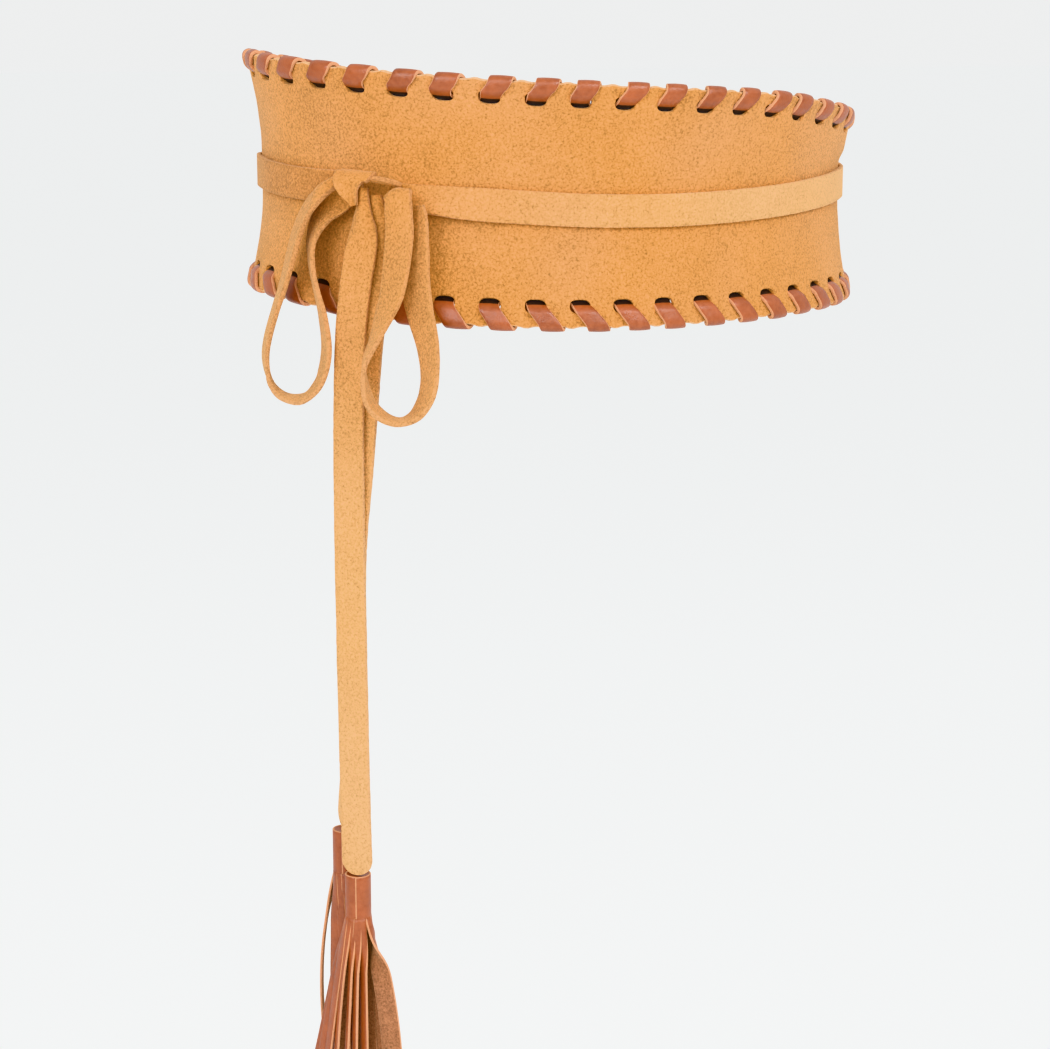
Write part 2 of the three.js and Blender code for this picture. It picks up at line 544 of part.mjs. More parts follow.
const belt = new THREE.Group();
addPiece(belt, 'band', bandGeometry(), SUEDE);
addPiece(belt, 'top_lace', laceGeometry(TOP_LACING), SMOOTH_LEATHER);
addPiece(belt, 'bottom_lace', laceGeometry(BOTTOM_LACING), SMOOTH_LEATHER);
addPiece(belt, 'tie_left', tieGeometry(TIE_LEFT), STRAP_SUEDE);
addPiece(belt, 'tie_right', tieGeometry(TIE_RIGHT), STRAP_SUEDE);
addPiece(belt, 'knot', fused([strapGeometry(KNOT_FOLD, 2), strapGeometry(KNOT_ROOF, 2)]), STRAP_SUEDE);
addPiece(belt, 'bow_loop_left', strapGeometry(LOOP_LEFT, 2), STRAP_SUEDE);
addPiece(belt, 'bow_loop_right', strapGeometry(LOOP_RIGHT, 2), STRAP_SUEDE);
addPiece(belt, 'tail_front', strapGeometry(TAIL_FRONT, 2), STRAP_SUEDE);
addPiece(belt, 'tail_rear', strapGeometry(TAIL_REAR, 2), STRAP_SUEDE);
addPiece(belt, 'tassel_front', tasselGeometry(TAIL_FRONT, HANG_FRONT, FRINGE_FRONT), SMOOTH_LEATHER);
addPiece(belt, 'tassel_rear', tasselGeometry(TAIL_REAR, HANG_REAR, FRINGE_REAR), SMOOTH_LEATHER);

export default belt;
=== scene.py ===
import math

import bmesh
import bpy
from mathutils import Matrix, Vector, noise


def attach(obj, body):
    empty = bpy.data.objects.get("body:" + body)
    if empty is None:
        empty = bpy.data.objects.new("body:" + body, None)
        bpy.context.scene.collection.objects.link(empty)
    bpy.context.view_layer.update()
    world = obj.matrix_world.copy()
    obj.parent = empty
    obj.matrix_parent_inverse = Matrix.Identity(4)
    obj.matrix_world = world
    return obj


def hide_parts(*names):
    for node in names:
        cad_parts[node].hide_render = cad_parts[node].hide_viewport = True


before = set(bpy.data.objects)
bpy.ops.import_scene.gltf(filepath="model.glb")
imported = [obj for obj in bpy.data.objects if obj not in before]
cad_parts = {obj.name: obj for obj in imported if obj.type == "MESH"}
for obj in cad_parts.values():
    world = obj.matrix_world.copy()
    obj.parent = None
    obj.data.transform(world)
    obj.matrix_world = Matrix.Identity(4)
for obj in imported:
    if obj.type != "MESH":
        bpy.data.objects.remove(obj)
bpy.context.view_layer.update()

# The camera stands a little above the belt, in front of it and to the wearer's right, and looks slightly down.


def add_object(name, data):
    """A new object in the scene."""
    added = bpy.data.objects.new(name, data)
    bpy.context.scene.collection.objects.link(added)
    return added


camera = add_object("camera", bpy.data.cameras.new("camera"))
camera.location = (-0.494, -0.870, 0.0575)
camera.rotation_euler = (math.pi / 2 - 0.204, 0, -0.503)
camera.data.sensor_width = 36
camera.data.lens = 80.1
camera.data.clip_start = 0.01
bpy.context.scene.camera = camera
bpy.context.scene.view_settings.view_transform = "Khronos PBR Neutral"

# A plain pale studio: a wide matt floor well below the belt, a pale surround that meets it at the horizon, and three
# large soft lamps: a key high up to the wearer's left, one behind and above the camera, and a fill facing the bow.


def linear(hex_colour, alpha=1.0):
    """A linear colour from an sRGB hex value."""
    channels = [int(hex_colour[i : i + 2], 16) / 255 for i in (1, 3, 5)]
    return (*[c / 12.92 if c <= 0.04045 else ((c + 0.055) / 1.055) ** 2.4 for c in channels], alpha)


def add_node(tree, kind, inputs=None, **settings):
    """A node with its settings; an input is given a value or another node's output socket."""
    node = tree.nodes.new(kind)
    for name, value in settings.items():
        setattr(node, name, value)
    for name, value in (inputs or {}).items():
        socket = next(s for s in node.inputs if s.name == name and s.enabled)
        if isinstance(value, bpy.types.NodeSocket):
            tree.links.new(value, socket)
        else:
            socket.default_value = value
    return node


def output(node, name=None):
    """The socket in use under a name, or the node's first one."""
    return next(s for s in node.outputs if s.enabled and name in (None, s.name))


def new_material(name):
    """An empty node material and its tree."""
    material = bpy.data.materials.new(name)
    material.use_nodes = True
    material.node_tree.nodes.clear()
    return material, material.node_tree


FLOOR_HEIGHT = -0.75
FLOOR_REACH = 60
STUDIO_PALE = "#F7F8F8"
HORIZON_STRENGTH = 1.06
ZENITH_STRENGTH = 1.16
LAMP_AIM = (0, 0, -0.05)

floor_paint, tree = new_material("matt_floor_paint")
shader = add_node(tree, "ShaderNodeBsdfPrincipled", {"Base Color": linear(STUDIO_PALE), "Roughness": 0.9})
add_node(tree, "ShaderNodeOutputMaterial", {"Surface": shader.outputs["BSDF"]})
floor_mesh = bpy.data.meshes.new("floor")
corners = [(x * FLOOR_REACH, y * FLOOR_REACH, FLOOR_HEIGHT) for x, y in ((-1, -1), (1, -1), (1, 1), (-1, 1))]
floor_mesh.from_pydata(corners, [], [(0, 1, 2, 3)])
floor_mesh.materials.append(floor_paint)
add_object("floor", floor_mesh)

world = bpy.data.worlds.new("studio")
world.use_nodes = True
sky = world.node_tree
sky.nodes.clear()
up = add_node(sky, "ShaderNodeSeparateXYZ", {"Vector": output(add_node(sky, "ShaderNodeTexCoord"), "Generated")})
climb = {"Value": output(up, "Z"), "To Min": HORIZON_STRENGTH, "To Max": ZENITH_STRENGTH}
climb = output(add_node(sky, "ShaderNodeMapRange", climb))
surround = add_node(sky, "ShaderNodeBackground", {"Color": linear(STUDIO_PALE), "Strength": climb})
add_node(sky, "ShaderNodeOutputWorld", {"Surface": output(surround)})
bpy.context.scene.world = world


def add_lamp(name, place, size, power):
    """A square soft lamp at a place, turned towards the belt."""
    lamp = add_object(name, bpy.data.lights.new(name, "AREA"))
    lamp.data.size = size
    lamp.data.energy = power
    lamp.location = place
    lamp.rotation_euler = (Vector(LAMP_AIM) - Vector(place)).to_track_quat("-Z", "Y").to_euler()


add_lamp("soft_key", (0.75, -2.0, 1.25), 0.9, 31)
add_lamp("soft_front", (-0.85, -1.75, 0.75), 0.8, 11)
add_lamp("soft_fill", (-1.7, -1.1, 0.7), 0.8, 20)

# The band is one wide panel of brushed suede, about 2 mm thick, with a narrow tongue at each end. Its long edges
# are cut raw and punched for the lacing; drawn tight by the ties, it flares above and below the waist.
MM = 0.001
WAIST_HALF_WIDTH = 128
WAIST_HALF_DEPTH = 98
BAND_WALL = 2
BAND_CENTRE = -48
COLUMN_WIDTH = 17
COLUMNS_BEFORE = 19
COLUMNS_AFTER = 19
BARE_COLUMNS = 2
EDGE_FLARE = 5.4
INNER_FLARE = 2.4
LACED_DEPTH = 15
LACED_SHARE = 0.66
TIE_SEAT = 8.2
SEAT_SHARE = 0.28
HOLE_HALF_WIDTH = 4
HOLE_HALF_HEIGHT = 2.6

# Between two turns of the lace the suede is bare: it puffs up and its edge bows out, less the further in. Elsewhere it
# ripples softly where it has room: ripples longer along the band than across it, with finer ones on them.
BARE_FROM, BARE_RAMP = 5.2, 3
PUFF, PUFF_DEPTH, PUFF_RAMP = 0.4, 10.5, 8
EDGE_BOW, EDGE_BOW_DEPTH = 0.7, 7
RIPPLE, RIPPLE_LENGTH, RIPPLE_SQUASH, RIPPLE_ROOM = 0.55, 0.034, 1.4, 15
FINE_RIPPLE, FINENESS = 0.18, 2.7

# The lacing of the top edge (1) and of the bottom one (-1): how far its holes lie from the edge, and how far past
# its hole, in columns, the lace goes over the edge.
LACING = {1: {"inset": 6.4, "lean": 0.24}, -1: {"inset": 7.8, "lean": 0.34}}

# The band's edges and the line of the ties round it: angle is in degrees round the waist from the wearer's centre
# front, positive to the wearer's left, and the other columns are in millimetres, or a share of the full flare.
BAND_COLUMNS = ("angle", "top", "waist", "bottom", "flare")
BAND_SHAPE = [
    (-212, 11, -5, -21, 0),
    (-195, 23.5, -2, -27, 0),
    (-175, 36, -1.5, -33, 0.2),
    (-150, 46, 2.5, -39, 0.8),
    (-125, 51.5, 5.5, -40, 1),
    (-104, 52.5, 6, -40, 1),
    (-79, 49.7, 3.2, -41.6, 1),
    (-61, 46.9, 1, -45.6, 1),
    (-37, 43.3, -3, -48.6, 1),
    (-17, 41, -6, -50, 1),
    (0, 39.2, -6.6, -50.2, 1),
    (21, 36.3, -5.5, -49.8, 1),
    (38, 32.2, -3.6, -49.3, 1),
    (53, 28.6, -1.8, -49, 1),
    (70, 25.4, -1.6, -46, 0.7),
    (82, 23, -2.6, -40, 0.15),
    (92, 20.6, -3.4, -34, 0),
    (115, 11, -5, -21, 0),
]
BAND_SHAPE = [dict(zip(BAND_COLUMNS, row)) for row in BAND_SHAPE]


def away(angle):
    """The level direction out from the waist's centre at an angle."""
    t = math.radians(angle)
    return Vector((math.sin(t), -math.cos(t), 0))


def waist_point(angle, out, height):
    """A place in metres; out and height are in millimetres."""
    t = math.radians(angle)
    x, y = (WAIST_HALF_WIDTH + out) * math.sin(t), -(WAIST_HALF_DEPTH + out) * math.cos(t)
    return Vector((x, y, height)) * MM


def curve_shares(s):
    """What a smooth curve takes, part of the way along it, of its start, slope there, end and slope there."""
    return (1 + 2 * s) * (1 - s) ** 2, s * (1 - s) ** 2, s * s * (3 - 2 * s), s * s * (s - 1)


def value_at(table, name, place, key="angle"):
    """A smooth value of one column of a table whose rows are in order of another column."""
    last = len(table) - 1
    i = next((k for k, row in enumerate(table) if row[key] > place), last) - 1
    i = min(max(i, 0), last - 1)

    def slope(k):
        a, b = table[max(k - 1, 0)], table[min(k + 1, last)]
        return (b[name] - a[name]) / (b[key] - a[key])

    span = table[i + 1][key] - table[i][key]
    h = curve_shares(min(max((place - table[i][key]) / span, 0), 1))
    start = h[0] * table[i][name] + h[1] * span * slope(i)
    return start + h[2] * table[i + 1][name] + h[3] * span * slope(i + 1)


def column_angles():
    """The angles where the band's columns meet, one column width apart along the waist."""

    def step(angle):
        t = math.radians(angle)
        speed = math.hypot(WAIST_HALF_WIDTH * math.cos(t), WAIST_HALF_DEPTH * math.sin(t))
        return math.degrees(COLUMN_WIDTH / speed)

    angles = [BAND_CENTRE]
    for _ in range(COLUMNS_AFTER):
        angles.append(angles[-1] + step(angles[-1] + step(angles[-1]) / 2))
    for _ in range(COLUMNS_BEFORE):
        angles.insert(0, angles[0] - step(angles[0] - step(angles[0]) / 2))
    return angles


COLUMN_ANGLES = column_angles()
COLUMNS = len(COLUMN_ANGLES) - 1


def angle_at(along):
    """The angle at a distance along the band, in columns from its first end."""
    i = min(max(int(along), 0), COLUMNS - 1)
    return COLUMN_ANGLES[i] + (along - i) * (COLUMN_ANGLES[i + 1] - COLUMN_ANGLES[i])


def smooth(x):
    """An even ramp from 0 to 1."""
    x = min(max(x, 0), 1)
    return x * x * (3 - 2 * x)


wall_cache = {}


def wall_section(along):
    """The band's cut at one place along it: its angle, waist, and for each side the edge, the way down and out."""
    key = round(along, 5)
    if key not in wall_cache:
        angle = angle_at(along)
        waist = value_at(BAND_SHAPE, "waist", angle)
        flare = value_at(BAND_SHAPE, "flare", angle)
        rise = Vector((flare * (EDGE_FLARE - INNER_FLARE), LACED_DEPTH)).normalized()
        halves = {}
        for side, name in ((1, "top"), (-1, "bottom")):
            edge = value_at(BAND_SHAPE, name, angle)
            span = side * (edge - waist)
            halves[side] = {
                "edge": Vector((flare * EDGE_FLARE, edge)),
                "down": Vector((-rise.x, -side * rise.y)),
                "outward": Vector((rise.y, -side * rise.x)),
                "laced": min(LACED_DEPTH, LACED_SHARE * span),
                "seat": waist + side * min(TIE_SEAT, SEAT_SHARE * span),
            }
        wall_cache[key] = (angle, halves)
    return wall_cache[key]


def lace_relief(side, along, inset):
    """How far, between the turns of the lace, the suede puffs up and its edge bows out; in millimetres."""
    lacing = LACING[side]
    step = lacing["lean"] * min(max((lacing["inset"] - inset) / (lacing["inset"] + 1), 0), 1)
    off_turn = (along - step) % 1 - 0.5
    off_turn -= round(off_turn)
    bare = smooth((abs(off_turn) * COLUMN_WIDTH - BARE_FROM) / BARE_RAMP)
    puff = PUFF * bare * smooth((PUFF_DEPTH - inset) / PUFF_RAMP)
    bow = EDGE_BOW * bare * smooth((EDGE_BOW_DEPTH - inset) / EDGE_BOW_DEPTH)
    return puff, bow


def ripple(angle, height):
    """How far the soft suede stands out of true between its edges and the ties, in millimetres."""
    place = waist_point(angle, 0, height * RIPPLE_SQUASH) / RIPPLE_LENGTH
    return RIPPLE * noise.noise(place) + FINE_RIPPLE * noise.noise(place * FINENESS)


def wall_point(along, zone, s, lift):
    """A place on the band: zone is (side, part), s is an inset in millimetres or a share of the part."""
    angle, halves = wall_section(along)
    side, part = zone
    half = halves[side]
    if part == "laced":
        laced = BARE_COLUMNS <= along <= COLUMNS - BARE_COLUMNS
        puff, bow = lace_relief(side, along, s) if laced else (0, 0)
        squeeze = half["laced"] / LACED_DEPTH
        place = half["edge"] + half["down"] * ((s - bow) * squeeze) + half["outward"] * (lift + puff)
    elif part == "between":
        start = half["edge"] + half["down"] * half["laced"]
        end = Vector((0, half["seat"]))
        reach = abs(end.y - start.y)
        begin, finish = half["down"] * reach, Vector((0, -side)) * reach
        h = curve_shares(s)
        place = start * h[0] + begin * h[1] + end * h[2] + finish * h[3]
        slope = begin.lerp(finish, s).normalized()
        place += Vector((abs(slope.y), -slope.x * (1 if slope.y < 0 else -1))) * lift
        place.x += ripple(angle, place.y) * smooth(4 * s) * smooth(3 * (1 - s)) * min(reach / RIPPLE_ROOM, 1)
    else:
        middle = (halves[1]["seat"] + halves[-1]["seat"]) / 2
        place = Vector((lift, half["seat"] + (middle - half["seat"]) * s))
    return waist_point(angle, place.x, place.y)


# The band's mesh: steps along each column, and rows down its wall, as insets or shares. A rounded edge is given as
# pairs of an inset and a lift, from the outer face to the inner one.
STEPS = 12
RIM_ROWS = [0.3, 1.1, 2.0]
CELL_ROWS = [2.0, 3.6, 5.2, 6.8, 8.4, 10.0, 11.7, 13.3, 15.0]
BETWEEN_ROWS = [0.14, 0.29, 0.43, 0.57, 0.71, 0.86]
SEAT_ROWS = [0, 0.35, 0.7]
EDGE_ROUND = [(0.08, -0.1), (0, -0.35), (0, -1.0), (0, -1.65), (0.08, -1.9)]


def band_rows():
    """The band's cross-section as rows of (zone, s, lift), once round from just inside its top edge."""
    half = [("laced", s) for s in RIM_ROWS + CELL_ROWS[1:]]
    half += [("between", s) for s in BETWEEN_ROWS] + [("seat", s) for s in SEAT_ROWS]
    outer = [((1, part), s, 0) for part, s in half] + [((1, "seat"), 1, 0)]
    outer += [((-1, part), s, 0) for part, s in reversed(half)]
    inner = [(zone, s, -BAND_WALL) for zone, s, _ in reversed(outer)]
    bottom = [((-1, "laced"), s, lift) for s, lift in EDGE_ROUND]
    top = [((1, "laced"), s, lift) for s, lift in reversed(EDGE_ROUND)]
    return outer, bottom, inner, top


def band_mesh():
    """The band's points and faces; a face marked 1 is on a raw cut edge."""
    outer, bottom, inner, top = band_rows()
    rows = outer + bottom + inner + top
    raw = range(len(outer) - 1, len(outer) + len(bottom)), range(len(rows) - len(top) - 1, len(rows))
    raw_rows = {k for part in raw for k in part}
    columns = [i / STEPS for i in range(COLUMNS * STEPS + 1)]
    points = [wall_point(x, *row) for x in columns for row in rows]
    faces, marks = [], []

    def at(column, row):
        return column * len(rows) + row % len(rows)

    first_cell = len(RIM_ROWS) - 1
    cells = range(first_cell, first_cell + len(CELL_ROWS) - 1)
    mirrored = len(outer) - 1
    cell_rows = {side: set(cells) if side > 0 else {mirrored - 1 - k for k in cells} for side in (1, -1)}
    start_inner = len(outer) + len(bottom)
    skipped = set()
    for side in (1, -1):
        for k in cell_rows[side]:
            skipped |= {k, start_inner + mirrored - 1 - k}
    for i in range(len(columns) - 1):
        laced = BARE_COLUMNS <= i // STEPS < COLUMNS - BARE_COLUMNS
        for k in range(len(rows)):
            if laced and k in skipped:
                continue
            faces.append((at(i, k), at(i, k + 1), at(i + 1, k + 1), at(i + 1, k)))
            marks.append(int(k in raw_rows))
    for column in (0, len(columns) - 1):
        for k in range(mirrored):
            across = start_inner + mirrored - k
            face = (at(column, k), at(column, across), at(column, across - 1), at(column, k + 1))
            faces.append(face if column == 0 else face[::-1])
            marks.append(1)
        for k, part in ((len(outer) - 1, bottom), (len(rows) - len(top) - 1, top)):
            ring = [at(column, k + j) for j in range(len(part) + 2)]
            faces.append(tuple(ring[::-1] if column == 0 else ring))
            marks.append(1)
    for side in (1, -1):
        for column in range(BARE_COLUMNS, COLUMNS - BARE_COLUMNS):
            add_hole(points, faces, marks, side, column, at, first_cell, mirrored, start_inner)
    return points, faces, marks


# A hole's mesh: rings at shares of the way in from its cell's border, round an oval that is a little square.
RING_SHARES = [0.3, 0.55, 0.77, 0.92]
HOLE_SQUARENESS = 0.72
HOLE_ROUND = [(0.25, 0), (0.06, -0.1), (0, -0.35), (0, -1.0), (0, -1.65), (0.06, -1.9), (0.25, -2.0)]


def add_hole(points, faces, marks, side, column, at, first_cell, mirrored, start_inner):
    """One punched hole: rings of faces run from the cell's border to the hole, through it, and out again."""
    edge_row = {0: first_cell, 1: first_cell + len(CELL_ROWS) - 1}
    border = [(i, 0) for i in range(STEPS)] + [(STEPS, k) for k in range(len(CELL_ROWS) - 1)]
    border += [(STEPS - i, len(CELL_ROWS) - 1) for i in range(STEPS)]
    border += [(0, len(CELL_ROWS) - 1 - k) for k in range(len(CELL_ROWS) - 1)]

    def border_index(i, k, layer):
        row = edge_row[0] + k
        row = row if side > 0 else mirrored - row
        return at(column * STEPS + i, row if layer == 0 else start_inner + mirrored - row)

    flat = [Vector((i / STEPS * COLUMN_WIDTH, CELL_ROWS[k])) for i, k in border]
    centre = Vector((COLUMN_WIDTH / 2, LACING[side]["inset"]))

    def oval(p, wider):
        ray = (p - centre).normalized()
        x, y = (math.copysign(abs(part) ** HOLE_SQUARENESS, part) for part in ray)
        return centre + Vector((x * (HOLE_HALF_WIDTH + wider), y * (HOLE_HALF_HEIGHT + wider)))

    def ring(share, wider, lift):
        start = len(points)
        for p in flat:
            q = p.lerp(oval(p, wider), share)
            points.append(wall_point(column + q.x / COLUMN_WIDTH, (side, "laced"), q.y, lift))
        return list(range(start, start + len(flat)))

    rim = HOLE_ROUND[0][0]
    rings = [[border_index(i, k, 0) for i, k in border]]
    rings += [ring(share, rim, 0) for share in RING_SHARES]
    rings += [ring(1, wider, lift) for wider, lift in HOLE_ROUND]
    rings += [ring(share, rim, -BAND_WALL) for share in reversed(RING_SHARES)]
    rings.append([border_index(i, k, 1) for i, k in border])
    for a, b in zip(rings, rings[1:]):
        for j in range(len(flat)):
            k = (j + 1) % len(flat)
            face = (a[j], a[k], b[k], b[j])
            faces.append(face if side < 0 else face[::-1])
            marks.append(0)


def new_piece(name, points, faces, marks, materials, slot, *nodes):
    """A smooth closed mesh of the belt, which stands for its CAD nodes; marks pick each face's material."""
    mesh = bpy.data.meshes.new(name)
    mesh.from_pydata(points, [], faces)
    for material in materials:
        mesh.materials.append(material)
    mesh.polygons.foreach_set("material_index", marks)
    mesh.update()
    return finish_piece(add_object(name, mesh), slot, *nodes)


def finish_piece(piece, slot, *nodes):
    """Faces turned outwards and shaded smooth; the piece takes the place of its CAD nodes."""
    work = bmesh.new()
    work.from_mesh(piece.data)
    bmesh.ops.recalc_face_normals(work, faces=work.faces)
    work.to_mesh(piece.data)
    work.free()
    piece.data.shade_smooth()
    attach(piece, "root")
    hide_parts(*nodes)
    return piece


def mixed(tree, share, a, b):
    """A colour part of the way from one to another."""
    inputs = {"Factor": share, "A": a, "B": b}
    return output(add_node(tree, "ShaderNodeMix", inputs, data_type="RGBA"))


def ranged(tree, value, low, high, from_min=0.32, from_max=0.68):
    """A noise value brought to a range of its own."""
    inputs = {"Value": value, "From Min": from_min, "From Max": from_max, "To Min": low, "To Max": high}
    return output(add_node(tree, "ShaderNodeMapRange", inputs))


BOW_PLACE = (-0.1155, -0.057, 0.0)
NAP_DRAWN = 0.0009
NAP_DEPTH = 0.0008
NAP_SHEEN = "#FFDDB0"
DRIFT_SIZE = 2.6


def suede(name, nap, far_colour=None, fade=(0.015, 0.15), speckle=0.5, patch=0.024):
    """Brushed split leather: a dense matt nap with a speckle of its fibres, soft patches where it is brushed over,
    and no gloss. Between the two distances from the bow, in metres, its colour goes over from nap to far_colour. The
    real speckle is taken as about 0.3 mm, too fine to show, so it is drawn 0.9 mm wide."""
    material, tree = new_material(name)
    place = output(add_node(tree, "ShaderNodeTexCoord"), "Object")

    def pattern(size, detail, roughness=0.6):
        inputs = {"Vector": place, "Scale": 1 / size, "Detail": detail, "Roughness": roughness}
        return output(add_node(tree, "ShaderNodeTexNoise", inputs))

    fibres, patches, drift = pattern(NAP_DRAWN, 4, 0.75), pattern(patch, 3), pattern(DRIFT_SIZE * patch, 1)
    colour = linear(nap)
    if far_colour:
        away_from_bow = add_node(tree, "ShaderNodeVectorMath", operation="DISTANCE")
        tree.links.new(place, away_from_bow.inputs[0])
        away_from_bow.inputs[1].default_value = BOW_PLACE
        colour = mixed(tree, ranged(tree, output(away_from_bow), 0, 1, *fade), linear(nap), linear(far_colour))
    tones = [ranged(tree, fibres, 1 - speckle, 1 + speckle), ranged(tree, patches, 0.92, 1.08)]
    tone = add_node(tree, "ShaderNodeMath", operation="MULTIPLY")
    for socket, value in zip(tone.inputs, tones):
        tree.links.new(value, socket)
    toned = {"Color": colour, "Value": output(tone), "Saturation": ranged(tree, drift, 1.01, 0.96)}
    toned = output(add_node(tree, "ShaderNodeHueSaturation", toned))
    bump = output(add_node(tree, "ShaderNodeBump", {"Height": fibres, "Strength": 0.6, "Distance": NAP_DEPTH}))
    inputs = {"Base Color": toned, "Roughness": 0.92, "Specular IOR Level": 0.2, "Normal": bump}
    inputs |= {"Sheen Weight": 0.3, "Sheen Roughness": 0.45, "Sheen Tint": linear(NAP_SHEEN)}
    shader = add_node(tree, "ShaderNodeBsdfPrincipled", inputs)
    add_node(tree, "ShaderNodeOutputMaterial", {"Surface": output(shader)})
    return material


# Honey suede: the band's brushed face, a matt nap with a fine grain. Raw suede: the paler core that a cut shows.
honey_suede = suede("honey_suede", "#BA8149")
raw_suede = suede("raw_cut_suede", "#CFA074")
band = new_piece("band_panel", *band_mesh(), [honey_suede, raw_suede], "suede", "band")

# The lacing is two long strips of smooth cognac leather, one for each edge, cut about 7.5 mm wide and 1.4 mm thick.
# Each is whipped over its edge from hole to hole; its cut sides are pale and show where they face outwards.
LACE_THICKNESS = 1.4
LACE_CROWN = 0.18
LACE_SLICES = 56
EDGE_STEPS = 8
LACE_SLACK = (0.09, 0.25, 0)
LACE_SEEDS = {1: 8, -1: 6}
CORNER = 0.22

# A turn's face lies inside its hole between these two of its rows.
HOLE_BEND = (0.6, 2.4)
NEAR_ROW = 0.05
LACE_COLUMNS = ("step", "inset", "lift", "width")


def turn_rows(inset, lean):
    """One turn of lace, from its bend behind a hole to the next one: step is in columns, inset is from the edge,
    lift is from the band's outer face, and width is along the edge, so more than the slanting lace's own width."""
    rows = [
        (0, inset + 3.0, -3.9, 8.8),
        (0, inset + 1.7, -2.8, 8.4),
        (0, inset + 0.5, -1.4, 7.6),
        (0.06 * lean, inset - 0.9, 0.1, 7.7),
        (0.2 * lean, inset - 2.4, 1.0, 8.3),
        (0.42 * lean, 0.46 * inset, 1.1, 8.6),
        (0.72 * lean, 1.1, 1.1, 8.6),
        (0.88 * lean, -0.4, 0.5, 8.6),
        (lean, -1, -1, 8.6),
        (lean + 0.04, -0.4, -2.5, 8.6),
        (lean + 0.1, 1.1, -3.1, 8.6),
        (lean + 0.5 * (1 - lean), 0.5 * inset, -3.1, 8.6),
        (0.84, inset - 1.6, -3.2, 8.8),
        (0.96, inset + 0.6, -4, 9),
        (1, inset + 2.4, -4.7, 9),
        (1, inset + 3.0, -3.9, 8.8),
    ]
    return [dict(zip(LACE_COLUMNS, row), row=i) for i, row in enumerate(rows)]


def strip_ring(width, thickness, cup=0, across=6):
    """A flat strip's section as (across, up), once round from its face's left corner; cup lifts its middle."""
    half, top = width / 2, thickness / 2
    shares = [2 * i / across - 1 for i in range(across + 1)]
    face = [((half - CORNER) * u, top + cup * (1 - u * u)) for u in shares]
    back = [((half - CORNER) * u, -top + cup * (1 - u * u)) for u in reversed(shares)]
    right = [(half, top - CORNER), (half, CORNER - top)]
    return face + right + back + [(-x, y) for x, y in reversed(right)]


def strip_marks(across=6):
    """For each face round a strip's section: 0 on its face, 1 on a cut side, 2 on its back."""
    return [0] * across + [1] * 3 + [2] * across + [1] * 3


def tube(rings, marks, closed=True):
    """Points, faces and marks of a tube through rings of points, with cut ends where it is closed."""
    size = len(rings[0])
    points = [p for ring in rings for p in ring]
    faces, used = [], []
    for i in range(len(rings) - 1):
        for k in range(size):
            n = (k + 1) % size
            faces.append((i * size + k, i * size + n, (i + 1) * size + n, (i + 1) * size + k))
            used.append(marks[k])
    if closed:
        faces += [tuple(range(size)), tuple(range(len(points) - 1, len(points) - size - 1, -1))]
        used += [1, 1]
    return points, faces, used


def lace_turn(inset, lean):
    """One turn of lace, laid out flat: x is in columns along the edge, y is inset and z is lift."""
    table = turn_rows(inset, lean)

    def row_at(place):
        return [value_at(table, name, place, "row") for name in LACE_COLUMNS]

    rings, eases = [], []
    for i in range(LACE_SLICES + 1):
        place = i / LACE_SLICES * (len(table) - 1)
        step, inset, lift, width = row_at(place)
        ahead, behind = row_at(place + NEAR_ROW), row_at(place - NEAR_ROW)
        up = Vector((ahead[2] - behind[2], behind[1] - ahead[1])).normalized()
        if i in (0, LACE_SLICES):
            up = Vector((1, 0))
        ring = strip_ring(width, LACE_THICKNESS, LACE_CROWN)
        rings.append([(step + x / COLUMN_WIDTH, inset + up.x * y, lift + up.y * y) for x, y in ring])
        eases += [math.sin(math.pi * i / LACE_SLICES)] * len(ring)
    points, faces, marks = tube(rings, strip_marks(), closed=False)
    mesh = bpy.data.meshes.new("lace_turn")
    mesh.from_pydata(points, [], faces)
    mesh.attributes.new("ease", "FLOAT", "POINT").data.foreach_set("value", eases)
    mesh.attributes.new("cut_side", "BOOLEAN", "FACE").data.foreach_set("value", [m == 1 for m in marks])
    rows_along = [(k // len(ring) + 0.5) / LACE_SLICES * (len(table) - 1) for k in range(len(faces))]
    bends = [mark == 0 and HOLE_BEND[0] < row < HOLE_BEND[1] for mark, row in zip(marks, rows_along)]
    mesh.attributes.new("bend", "BOOLEAN", "FACE").data.foreach_set("value", bends)
    mesh.shade_smooth()
    return bpy.data.objects.new("lace_turn", mesh)


def edge_line(name, side):
    """Points along one edge of the band, with the way down its wall and outwards from it, for a millimetre each."""
    sections = [wall_section(i / EDGE_STEPS) for i in range(COLUMNS * EDGE_STEPS + 1)]

    def level(angle, flat):
        return (away(angle) * flat.x + Vector((0, 0, flat.y))) * MM

    mesh = bpy.data.meshes.new(name)
    mesh.from_pydata([waist_point(angle, *halves[side]["edge"]) for angle, halves in sections], [], [])
    for label in ("down", "outward"):
        values = [c for angle, halves in sections for c in level(angle, halves[side][label])]
        mesh.attributes.new(label, "FLOAT_VECTOR", "POINT").data.foreach_set("vector", values)
    return add_object(name, mesh)


